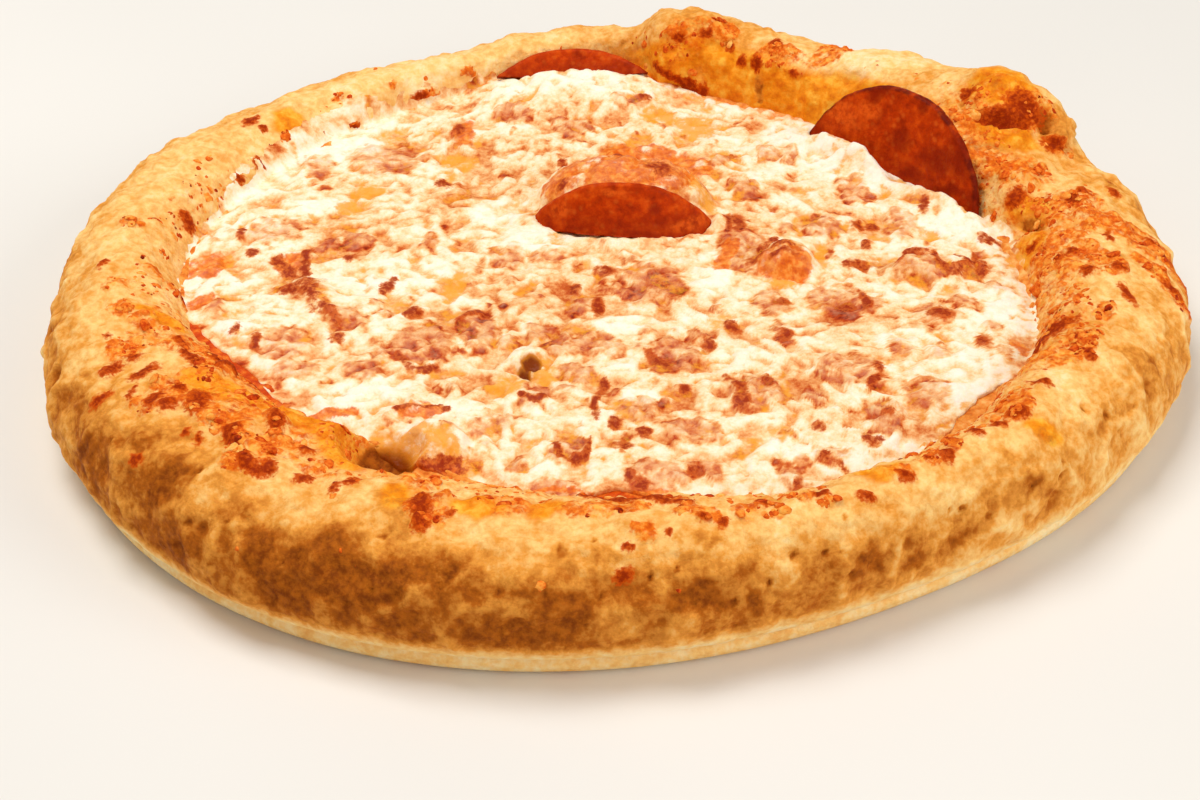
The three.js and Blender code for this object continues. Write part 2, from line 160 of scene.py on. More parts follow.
SCORCHED_LINES = [  # half width, then the points of each
    (5.5, [(277, 259), (292, 276)]), (5, [(305, 254), (306, 272)]),
    (7, [(292, 276), (310, 297), (329, 310), (338, 321)]), (4, [(383, 290), (392, 280)]),
    (3.5, [(460, 324), (466, 315), (477, 312), (488, 312)]), (4.5, [(648, 353), (656, 361), (668, 366)]),
    (3, [(396, 410), (420, 405), (446, 408)]), (3.5, [(396, 355), (410, 365), (425, 369), (437, 362)]),
    (4, [(606, 380), (598, 392), (592, 405), (596, 418)]), (3.5, [(726, 378), (734, 386), (744, 388)]),
    (3, [(556, 445), (560, 456), (572, 460), (587, 455), (589, 442)]),
    (3, [(522, 395), (535, 402), (547, 396)]),
    (4, [(903, 258), (918, 252), (934, 253), (941, 262), (952, 268), (966, 268), (973, 257), (983, 265),
        (981, 278)]),
    (2.6, [(757, 262), (760, 249), (775, 241), (796, 243)]), (2.2, [(770, 254), (783, 249), (800, 252)]),
    (4, [(878, 362), (878, 376), (870, 386)]), (3.5, [(822, 455), (840, 461), (849, 476)]),
]
BROWNED_CHEESE = [
    (325, 245, 14, 7), (320, 165, 16, 9), (385, 160, 32, 14), (270, 230, 30, 12), (355, 238, 16, 8),
    (430, 243, 9, 9), (570, 126, 15, 8), (634, 100, 18, 9), (462, 133, 11, 12), (512, 117, 18, 8),
    (508, 256, 18, 12), (548, 255, 13, 7), (745, 187, 15, 12), (716, 160, 11, 7), (765, 155, 9, 8),
    (790, 156, 12, 9), (852, 189, 15, 11), (820, 227, 17, 11), (900, 225, 16, 13), (925, 262, 22, 13),
    (976, 268, 10, 10), (740, 250, 22, 22), (212, 308, 10, 9), (280, 342, 30, 16), (342, 318, 18, 10),
    (425, 344, 32, 18), (362, 368, 18, 9), (290, 368, 26, 8), (376, 352, 9, 7), (478, 330, 20, 18),
    (650, 284, 34, 19), (583, 306, 16, 8), (674, 354, 27, 16), (540, 332, 16, 9), (575, 345, 26, 9),
    (580, 372, 20, 8), (534, 397, 15, 10), (640, 410, 20, 10), (478, 428, 14, 10), (573, 448, 18, 14),
    (655, 474, 28, 15), (708, 469, 12, 9), (518, 467, 13, 7), (560, 486, 26, 9), (690, 428, 26, 10),
    (752, 392, 30, 19), (812, 395, 14, 8), (770, 305, 20, 11), (843, 300, 32, 14), (785, 332, 12, 10),
    (937, 314, 17, 9), (850, 372, 30, 18), (928, 390, 22, 16), (905, 348, 14, 7), (1000, 288, 9, 5),
    (962, 300, 11, 6), (986, 326, 10, 5), (1004, 352, 7, 5), (940, 350, 9, 6), (955, 425, 9, 6),
    (884, 418, 18, 16), (795, 474, 17, 18), (982, 343, 9, 9), (835, 455, 20, 7), (610, 345, 14, 12),
    (500, 420, 22, 7),
]
OILY_CHEESE = [
    (700, 185, 12, 20), (822, 255, 8, 15), (545, 372, 15, 12), (845, 479, 15, 9), (700, 128, 32, 14),
    (555, 212, 14, 10), (455, 285, 12, 16), (780, 275, 20, 12), (1018, 262, 7, 14), (405, 438, 24, 18),
    (444, 436, 16, 16), (882, 192, 7, 7), (365, 190, 18, 8), (455, 160, 20, 10), (500, 385, 26, 10),
    (660, 118, 30, 8), (350, 205, 20, 8), (220, 262, 12, 8), (930, 235, 12, 6),
]
PALE_CHEESE = [
    (400, 272, 50, 14), (350, 395, 40, 12), (245, 190, 35, 14), (540, 240, 30, 8), (712, 272, 20, 22),
    (722, 492, 40, 10), (975, 378, 36, 36), (1000, 300, 14, 18), (560, 82, 60, 10), (650, 92, 24, 6),
    (862, 168, 40, 18), (800, 132, 40, 12), (960, 228, 40, 12), (340, 148, 40, 10), (182, 288, 14, 18),
    (232, 322, 14, 12), (622, 326, 26, 9), (705, 318, 26, 10), (888, 336, 34, 8), (640, 396, 22, 7),
    (500, 210, 30, 14), (330, 205, 24, 8), (450, 300, 30, 8), (600, 205, 20, 8), (800, 200, 22, 10),
    (900, 440, 22, 9), (780, 445, 20, 12), (690, 495, 24, 7), (480, 488, 20, 10), (385, 384, 26, 8),
]
CHEESE_HOLES = [(531, 362, 12, 10), (524, 377, 7, 6)]
GLAZED_CHEESE = [
    (396, 450, 20, 8), (377, 436, 7, 13), (412, 457, 22, 5), (365, 450, 8, 10), (446, 448, 14, 10),
]
TOASTED_CHEESE = [
    (625, 160, 72, 18), (568, 172, 20, 16), (787, 256, 32, 20), (680, 165, 30, 12), (465, 133, 10, 12),
    (205, 265, 18, 12), (290, 262, 14, 9), (420, 408, 28, 6), (435, 464, 26, 9), (412, 484, 36, 15),
    (730, 248, 10, 10), (720, 262, 9, 9), (200, 300, 12, 8), (640, 152, 40, 8), (1020, 345, 8, 8),
    (250, 375, 40, 6), (332, 412, 22, 7), (600, 489, 70, 3),
]
# Hollows sunk into the dough, each also painted with shade
HOLLOWS = [  # with the depth of each, in millimetres
    (1004, 119, 28, 6, 4.0), (1041, 120, 6, 7, 2.2), (758, 86, 5, 18, 1.6), (700, 78, 5, 14, 1.2),
    (966, 95, 5, 11, 1.4), (1035, 222, 12, 10, 2.0),
]
LUMPS = [  # with the height of each, in millimetres
    (1018, 88, 14, 11, 3.4), (1000, 141, 24, 8, 1.2), (1055, 140, 9, 9, 3.2), (1017, 185, 16, 16, 1.4),
    (985, 92, 16, 10, 1.0), (725, 78, 14, 20, 0.9), (345, 445, 18, 14, 0.8), (1046, 430, 9, 6, 0.8),
    (700, 25, 20, 9, 1.0), (775, 45, 14, 9, 0.8), (240, 452, 20, 12, 0.9), (275, 424, 10, 14, 0.9),
    (865, 62, 26, 10, 0.7), (1075, 205, 20, 12, 0.8), (565, 175, 6, 6, 0.3),
]
# Char along the slices' top edges, and painted shade along their feet and on the lower right of the back
# right slice
CHARRED_AND_SHADED_SALAMI = [
    (912, 174, 16, 11), (642, 236, 30, 5), (600, 236, 24, 4), (575, 228, 14, 4), (884, 88, 26, 4),
    (925, 104, 10, 5), (945, 190, 22, 7), (975, 196, 14, 9), (940, 160, 24, 16), (960, 160, 16, 26),
    (900, 140, 12, 14), (655, 210, 8, 8),
]
# Painted highlights on the salami's faces
SALAMI_HIGHLIGHTS = [
    (840, 115, 22, 18), (870, 110, 10, 10), (690, 222, 20, 8), (560, 210, 14, 6), (610, 190, 20, 5),
]
GOLDEN_DOUGH = [
    (690, 60, 44, 26), (745, 82, 50, 24), (800, 98, 30, 16), (1005, 135, 28, 14), (1030, 215, 22, 20),
    (345, 445, 34, 20), (300, 415, 26, 12), (395, 495, 16, 16), (480, 508, 28, 12), (545, 508, 24, 9),
    (235, 395, 26, 12), (1045, 430, 16, 10), (160, 315, 14, 8), (215, 255, 14, 10), (290, 120, 18, 16),
    (1000, 92, 34, 18), (1020, 260, 12, 24), (880, 470, 22, 10),
]
SCORCHED_DOUGH = [
    (188, 222, 6, 9), (250, 121, 9, 4), (265, 127, 6, 3), (325, 133, 5, 4), (358, 128, 9, 6),
    (420, 97, 8, 6), (447, 108, 7, 4), (475, 88, 4, 4), (103, 265, 4, 4), (107, 337, 4, 4),
    (111, 371, 9, 7), (136, 360, 8, 5), (145, 375, 10, 6), (178, 388, 9, 8), (101, 402, 7, 6),
    (133, 395, 3, 5), (152, 404, 9, 8), (170, 408, 9, 6), (197, 402, 11, 8), (187, 432, 6, 4),
    (200, 440, 4, 6), (137, 460, 6, 7), (230, 431, 11, 5), (275, 424, 8, 14), (271, 452, 6, 7),
    (306, 450, 10, 6), (303, 478, 12, 5), (335, 487, 6, 5), (352, 481, 8, 4), (450, 512, 5, 5),
    (625, 575, 10, 9), (668, 534, 5, 4), (703, 520, 5, 4), (723, 522, 6, 6), (628, 547, 5, 5),
    (262, 167, 6, 9), (240, 178, 5, 6), (1017, 198, 10, 9), (1083, 194, 6, 4), (1112, 193, 5, 4),
    (1107, 239, 5, 4), (1087, 270, 8, 5), (1118, 270, 7, 5), (1127, 295, 6, 10), (1074, 250, 9, 4),
    (1158, 254, 4, 5), (1171, 290, 4, 5), (1090, 356, 6, 6), (1078, 342, 8, 5), (1060, 258, 5, 4),
    (1035, 350, 10, 6), (1018, 414, 12, 7), (998, 422, 8, 5), (978, 432, 7, 6), (945, 455, 9, 8),
    (905, 475, 11, 5), (926, 457, 6, 4), (867, 497, 9, 6), (820, 494, 12, 5), (762, 502, 7, 5),
    (705, 33, 7, 5), (678, 38, 7, 5), (728, 47, 5, 6), (756, 63, 7, 8), (776, 46, 6, 5), (793, 74, 5, 5),
    (968, 92, 7, 6), (1021, 110, 16, 12), (1000, 117, 22, 9), (1050, 147, 10, 9), (1072, 203, 8, 6),
    (1040, 382, 12, 4), (1033, 247, 5, 5), (1018, 365, 5, 9), (740, 60, 5, 6), (415, 415, 7, 6),
    (143, 558, 6, 4),
]
# Scorched lines, except the one from (655, 66) to (702, 96), which is a painted shadow under the fold's
# overhang
SCORCHED_AND_SHADOW_DOUGH_LINES = [  # half width, then the points of each
    (6.5, [(226, 437), (236, 448), (247, 463), (260, 474), (272, 466)]),
    (11, [(421, 503), (422, 512), (422, 522)]), (5, [(655, 66), (668, 74), (685, 86), (702, 96)]),
    (3.5, [(178, 342), (187, 355), (200, 362)]), (4, [(402, 409), (422, 406), (443, 409)]),
    (3, [(213, 361), (238, 367), (262, 377), (286, 388), (293, 397)]),
    (2.6, [(566, 494), (590, 497), (618, 499), (645, 497), (672, 501), (694, 503)]),
]
RUSTY_DOUGH = [
    (118, 280, 16, 8), (120, 310, 18, 6), (130, 225, 16, 7), (293, 133, 6, 8), (340, 96, 8, 5),
    (393, 88, 4, 5), (432, 93, 14, 8), (470, 72, 8, 6), (205, 262, 16, 14), (170, 287, 5, 10),
    (150, 320, 20, 9), (125, 350, 22, 14), (160, 395, 36, 22), (215, 400, 40, 26), (245, 455, 32, 22),
    (290, 440, 26, 26), (330, 425, 26, 12), (420, 480, 22, 24), (430, 505, 26, 26), (600, 508, 60, 10),
    (642, 530, 20, 13), (700, 512, 30, 10), (760, 512, 34, 12), (815, 500, 30, 9), (890, 472, 26, 14),
    (940, 448, 26, 16), (1008, 408, 28, 16), (1040, 360, 30, 16), (1042, 290, 18, 28), (1075, 215, 30, 34),
    (1095, 260, 30, 18), (1070, 340, 26, 12), (1105, 312, 12, 9), (1020, 170, 40, 16), (1045, 250, 16, 24),
    (700, 28, 46, 16), (680, 48, 30, 14), (780, 55, 34, 14), (830, 52, 26, 12), (885, 50, 18, 8),
    (972, 100, 12, 8), (1010, 104, 44, 30), (1055, 150, 18, 16), (1150, 250, 18, 22), (1165, 285, 12, 24),
    (565, 175, 12, 16), (500, 505, 34, 12), (360, 128, 12, 6),
]
BROWN_DOUGH = [
    (162, 490, 10, 18), (175, 468, 14, 9), (190, 545, 12, 12), (240, 508, 26, 14), (255, 550, 18, 26),
    (345, 600, 16, 13), (480, 565, 9, 16), (565, 545, 8, 9), (712, 590, 15, 14), (745, 568, 14, 9),
    (752, 603, 9, 10), (808, 573, 10, 9), (915, 560, 9, 9), (955, 545, 15, 10), (1012, 456, 8, 7),
    (1045, 430, 10, 8), (560, 610, 34, 14), (530, 590, 26, 16), (330, 545, 14, 26), (400, 570, 24, 16),
    (655, 610, 26, 18), (450, 560, 26, 14), (1140, 360, 16, 12), (85, 450, 10, 18), (180, 430, 26, 14),
    (230, 480, 24, 12), (860, 560, 20, 12), (610, 560, 16, 12), (1030, 480, 12, 10), (710, 540, 18, 9),
    (1000, 120, 40, 16), (1050, 130, 16, 20), (400, 505, 30, 22), (150, 430, 30, 14), (1005, 100, 30, 14),
]
# Pits in the wall, sunk in and painted with shade
PITS = [
    (546, 595, 8, 8), (499, 592, 4, 5), (405, 583, 3, 6), (372, 590, 5, 5), (601, 596, 4, 4),
    (793, 555, 4, 6), (826, 552, 5, 4), (678, 568, 4, 4), (651, 577, 4, 4), (850, 573, 3, 4),
    (322, 557, 5, 5), (282, 562, 4, 5), (383, 536, 5, 3), (199, 470, 4, 4), (189, 522, 4, 3),
    (962, 507, 5, 4), (950, 510, 3, 4), (1062, 475, 3, 3), (695, 606, 5, 6), (843, 518, 4, 4),
    (770, 583, 4, 5), (1034, 486, 4, 4), (1085, 408, 4, 5), (450, 575, 6, 5), (500, 630, 4, 3),
    (735, 602, 4, 6), (1108, 415, 4, 4), (240, 440, 3, 3), (110, 440, 4, 4), (595, 540, 4, 3),
]

# ---- Colours, as the eye reads them, 0 to 255. Ramps give the value at which each colour lies ----
BAKED_DOUGH = [
    (0.0, (255, 232, 180)), (0.25, (252, 204, 126)), (0.5, (232, 154, 62)), (0.75, (180, 96, 20)),
    (1.0, (112, 46, 4)),
]
GOLD = [(214, 104, 0), (242, 146, 18), (254, 192, 70)]
RUST = [(196, 64, 0), (234, 114, 16), (254, 178, 76)]
PORE_SHADE, SCORCHED, BURNT = (112, 48, 2), (206, 80, 4), (146, 38, 0)

BAKED_CHEESE = [
    (0.0, (252, 244, 226)), (0.18, (251, 235, 204)), (0.32, (249, 216, 166)), (0.44, (242, 188, 128)),
    (0.56, (230, 152, 88)), (0.68, (210, 110, 50)), (0.8, (188, 66, 12)), (1.0, (124, 22, 0)),
]
CRISP_CHEESE = [(200, 72, 4), (230, 114, 26), (250, 168, 76)]
RUDDY_CHEESE, OIL = (218, 148, 112), (240, 160, 44)
CHEESE_SCORCH, CHEESE_BURNT = (204, 96, 36), (146, 32, 4)
# Painted shade in the cheese's holes and the burst bubble, darker towards the floor
PIT_SIDE_SHADE, PIT_FLOOR_SHADE = (204, 122, 22), (128, 50, 0)

WET_SAUCE = [(172, 42, 0), (208, 76, 10), (238, 136, 42)]
DRIED_SAUCE = [(204, 94, 20), (238, 146, 58), (252, 196, 116)]

MEAT = [(150, 38, 0), (188, 56, 0), (216, 82, 8)]
# Painted light on the slices: the shaded meat colour is painted shade, and the bright meat colour is painted
# highlight.
FAT, DARK_MEAT, SHADED_MEAT = (236, 120, 40), (130, 30, 4), (126, 24, 2)
HIGHLIGHT_MEAT, CHARRED_MEAT = (238, 104, 26), (96, 16, 2)

CRUMB_TONES = [
    (0.0, (254, 206, 120)), (0.3, (248, 160, 64)), (0.55, (232, 108, 26)), (0.78, (196, 62, 8)),
    (1.0, (126, 30, 3)),
]
FLOOR_TONES = [(0.3, (226, 223, 218)), (0.7, (232, 229, 224))]

# ---- How much each form adds to the relief, in millimetres, and to how dark the bake and its painted light and shade are, 0 to 1 ----
DOUGH_RELIEF = {
    "swell": 0.9, "lumps": 0.75, "fine": 0.45, "fine on top": 0.15, "cracks": 0.5, "toasted cracks": 0.7,
    "veins": 0.9, "knobs": 0.75, "dimples": 1.1, "folds": 1.3, "blisters": 0.6, "islands": 0.55, "grit": 0.7,
    "pores": 0.9, "scorch": 0.5, "bubbles": 0.6, "sunk inside": 0.4,
}
# Of these, the terms for lumps, dimples, veins, knobs, fine relief, crest, back, lip, pores and hollows are
# painted light and shade, and front is partly so.
DOUGH_TOAST = {
    "base": 0.375, "spread": 0.08, "small": 0.07, "lumps": 0.08, "flecks": 0.1, "wall": 0.14, "front": 0.35,
    "dimples": 0.13, "veins": 0.18, "knobs": 0.12, "fine": 0.08, "crest": 0.02, "back": 0.14, "lip": 0.2,
    "foot": 0.05, "fold": 0.12, "pale fold": 0.2, "pores": 0.5, "marks": 0.18, "folds": 0.1, "flour": 0.12,
    "most": 0.85, "shade in hollows": 0.86,
}
CHEESE_RELIEF = {
    "shreds": 1.1, "blotches": 0.6, "scorch": 0.3, "fine": 0.3, "swell": 0.8, "crisp": 0.8, "oil": 0.5,
    "holes": 2.0, "edge drop": 0.8, "lap": 0.5,
}
# Of these, low and shreds are partly painted shade and painted light.
CHEESE_BAKE = {
    "base": 0.305, "middle": 0.07, "patches": 0.13, "streaks": 0.18, "crumbled": 0.12, "low": 0.16,
    "shreds": 0.12, "pale": 0.2, "freckles": 0.14, "edge": 0.06, "edge patches": 0.34, "lap": 0.08,
    "lap patches": 0.2, "least": 0.04, "blotches": 0.12, "blotch skin": 0.24, "rings": 0.22, "scorch": 0.26,
    "glaze": 0.2,
}


# ---- Numbers ----
def smoothstep(x, low, high):
    """0 below low, 1 above high, and a smooth rise between them."""
    t = np.clip((x - low) / (high - low), 0.0, 1.0)
    return t * t * (3 - 2 * t)


def lattice(cell, seed):
    """A fixed pseudo-random value from 0 to 1 for each cell of the integer lattice."""
    x, y, z = (cell[:, i].astype(np.int64) for i in range(3))
    h = (x * 374761393 + y * 668265263 + z * 1440662683 + seed * 974711) & 0xFFFFFFFF
    h = ((h ^ (h >> 13)) * 1274126177) & 0xFFFFFFFF
    h = ((h ^ (h >> 16)) * 1103515245) & 0xFFFFFFFF
    return ((h ^ (h >> 15)) & 0xFFFFFF) / 0xFFFFFF


def noise(points, size, seed):
    """Smooth noise from -1 to 1 whose features are about size across."""
    scaled = points / size
    cell = np.floor(scaled).astype(np.int64)
    t = scaled - cell
    t = t * t * (3 - 2 * t)
    total = np.zeros(len(points))
    for corner in range(8):
        step = np.array([corner & 1, (corner >> 1) & 1, (corner >> 2) & 1])
        weight = np.prod(np.where(step, t, 1 - t), axis=1)
        total += weight * lattice(cell + step, seed)
    return total * 2 - 1


def fractal(points, size, seed, octaves=3):
    """Noise with finer noise on it, from about -1 to 1."""
    total, weight = np.zeros(len(points)), 1.0
    for octave in range(octaves):
        total += weight * noise(points, size / 2**octave, seed + octave)
        weight *= 0.5
    return total / (2 - 2.0 ** (1 - octaves))


def ridges(points, size, seed, octaves=2):
    """Noise with sharp creases, from 0 in a crease to 1."""
    return 1 - np.abs(1 - np.abs(fractal(points, size, seed, octaves)) * 2.2).clip(0, 1)


def spots(points, spacing, share, sizes, seed):
    """Scattered round spots, 1 in the middle of each and 0 from its edge on. share of the cells have one."""
    cell = np.floor(points / spacing).astype(np.int64)
    best = np.zeros(len(points))
    for i in range(27):
        near = cell + np.array([i % 3 - 1, i // 3 % 3 - 1, i // 9 - 1])
        there = lattice(near, seed) < share
        middle = np.stack([near[:, k] + lattice(near, seed + 1 + k) for k in range(3)], 1) * spacing
        radius = sizes[0] + (sizes[1] - sizes[0]) * lattice(near, seed + 4) ** 2
        distance = ((points - middle) ** 2).sum(1) / radius**2
        best = np.maximum(best, np.where(there, 1 - distance, 0))
    return best


def smoothed(grid, sigma, axis, wrap):
    """A grid blurred along one axis."""
    reach = int(math.ceil(sigma * 2.5))
    steps = np.arange(-reach, reach + 1)
    weights = np.exp(-0.5 * (steps / sigma) ** 2)
    index = np.arange(grid.shape[axis])
    total = np.zeros_like(grid)
    for step, weight in zip(steps, weights / weights.sum()):
        moved = (index + step) % len(index) if wrap else np.clip(index + step, 0, len(index) - 1)
        total += weight * np.take(grid, moved, axis=axis)
    return total


def around(azimuth, middle, spread):
    """A smooth hump of height 1 round one azimuth, in degrees."""
    return np.exp(-((((azimuth - middle + 180) % 360 - 180) / spread) ** 2))


def tint(rgb):
    """A colour as the eye reads it, 0 to 255, as the linear colour that a shader takes."""
    c = np.array(rgb) / 255
    return (*np.where(c <= 0.04045, c / 12.92, ((c + 0.055) / 1.055) ** 2.4), 1.0)


# ---- Reading the solids ----
def tree_of(*names):
    """The faces of some CAD nodes, in millimetres about the pizza's middle."""
    points, faces = [], []
    for name in names:
        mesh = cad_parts[name].data
        start = len(points)
        points += [Vector(np.array(v.co) / MM - PIZZA_MIDDLE) for v in mesh.vertices]
        faces += [[start + i for i in face.vertices] for face in mesh.polygons]
    return BVHTree.FromPolygons(points, faces)


dough_tree = tree_of("crust")
cheese_tree = tree_of("cheese")
seen_tree = tree_of("crust", "cheese", *SLICES)


def sight(x, y):
    """The way of sight through a pixel of the photograph."""
    way = AHEAD * FOCAL_PIXELS + RIGHT * (x - PHOTO_WIDTH / 2) - UPRIGHT * (y - PHOTO_HEIGHT / 2)
    return way / np.linalg.norm(way)


def place_mark(x, y, wide, deep):
    """A mark's middle on the solids, its half axes in the surface, and the surface's normal."""
    hit, normal, _, _ = seen_tree.ray_cast(Vector(CAMERA_AT), Vector(sight(x, y)))
    if hit is None:
        return None
    hit, normal = np.array(hit), np.array(normal)
    axes = []
    for px, py, size in ((x + wide, y, wide), (x, y + deep, deep)):
        way = sight(px, py)
        reach = (hit - CAMERA_AT) @ normal / (way @ normal)
        axis = CAMERA_AT + way * reach - hit
        longest = size * MAX_STRETCH
        axes.append(axis * min(1, longest / np.linalg.norm(axis)))
    return hit, axes[0], axes[1], normal


def each_mark(points, marks, ragged, seed, grown):
    """The points near each mark, how far in it each is, from 1 to 0 at its edge, and the mark's height."""
    shift = np.stack([fractal(points, ragged * 3, seed + k, 2) for k in range(3)], 1) * ragged
    moved = points + shift
    for x, y, half_width, half_height, *height in marks:
        place = place_mark(x, y, half_width, half_height)
        if place is None:
            continue
        middle, wide, deep, normal = place
        longest = max(np.linalg.norm(wide), np.linalg.norm(deep))
        depth = max(MARK_DEPTH, 0.6 * longest)
        near = np.nonzero(np.abs(points - middle).max(1) < grown * max(longest, depth) + ragged)[0]
        way = moved[near] - middle
        share = sum((way @ axis / (axis @ axis)) ** 2 for axis in (wide, deep)) + (way @ normal / depth) ** 2
        yield near, 1 - share / grown**2, height


def marked(points, marks, ragged, seed, grown=1.0):
    """The strongest of some marks at each point, from 0 outside them to 1."""
    best = np.zeros(len(points))
    for near, strength, _ in each_mark(points, marks, ragged, seed, grown):
        best[near] = np.maximum(best[near], strength)
    return best


def raised(points, marks, ragged, seed, grown):
    """The sum of some marks that each end with a height in millimetres."""
    total = np.zeros(len(points))
    for near, strength, height in each_mark(points, marks, ragged, seed, grown):
        total[near] += height[0] * smoothstep(strength, 0.0, 0.9)
    return total


def along(lines):
    """Round marks close together along some lines."""
    marks = []
    for size, path in lines:
        for (x0, y0), (x1, y1) in zip(path, path[1:]):
            steps = max(1, int(math.hypot(x1 - x0, y1 - y0) / (size * 0.7)))
            for i in range(steps + 1):
                marks.append((x0 + (x1 - x0) * i / steps, y0 + (y1 - y0) * i / steps, size, size))
    return marks


def under_crater(points):
    """The level that the burst bubble lets a surface reach, and how far each point is from its middle."""
    turn = math.radians(CRATER["turn"])
    along_way, across_way = (math.cos(turn), math.sin(turn)), (-math.sin(turn), math.cos(turn))
    away = points[:, :2] - CRATER["at"]
    long, wide = CRATER["size"]
    share = np.hypot(away @ along_way / long, away @ across_way / wide)
    share = share + 0.12 * fractal(points * PLAN, 9.0, 137)
    inside = CRATER["floor"] + (CRATER["lip"] - CRATER["floor"]) * share**2
    level = np.where(share < 1, inside, CRATER["lip"] + CRATER["flare"] * (share - 1))
    return level + 0.5 * fractal(points * PLAN, 3.0, 131), share


# ---- Meshes ----
def grid_faces(rows, columns, closed):
    """The faces of a grid of points, row after row. A closed grid joins its last column to its first."""
    index = np.arange(rows * columns).reshape(rows, columns)
    if closed:
        index = np.concatenate([index, index[:, :1]], 1)
    corners = index[:-1, :-1], index[:-1, 1:], index[1:, 1:], index[1:, :-1]
    return np.stack([c.ravel() for c in corners], 1)


def band(a, b, flip=False):
    """The faces between two closed loops of point numbers."""
    corners = [a, np.roll(a, -1), np.roll(b, -1), b] if flip else [np.roll(a, -1), a, b, np.roll(b, -1)]
    return np.stack(corners, 1).tolist()


def fan(loop, hub, flip=False):
    """The faces between a closed loop of point numbers and one point."""
    corners = [loop, np.roll(loop, -1)] if flip else [np.roll(loop, -1), loop]
    return np.stack([*corners, np.full(len(loop), hub)], 1).tolist()


def build(name, material, points, faces, looks, replaced=()):
    """A smooth mesh piece that rides on the pizza, with its looks for its material to read."""
    mesh = bpy.data.meshes.new(name)
    mesh.from_pydata((points + PIZZA_MIDDLE) * MM, [], faces)
    mesh.shade_smooth()
    for key, values in looks.items():
        attribute = mesh.attributes.new(key, "FLOAT", "POINT")
        attribute.data.foreach_set("value", np.clip(values, 0, 1).astype(np.float32))
    mesh.materials.append(material)
    piece = bpy.data.objects.new(name, mesh)
    bpy.context.scene.collection.objects.link(piece)
    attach(piece, "root")
    if replaced:
        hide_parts(*replaced)


def grid_normals(grid):
    """Outward normals of a grid of points whose rows close on themselves."""
    round_way = np.roll(grid, -1, 0) - np.roll(grid, 1, 0)
    up_way = np.gradient(grid, axis=1)
    normal = np.cross(round_way, up_way)
    return normal / np.maximum(np.linalg.norm(normal, axis=2, keepdims=True), 1e-9)


# ---- Materials ----
GRAIN_SPAN = (0.3, 0.7)  # most of Blender's noise lies in it


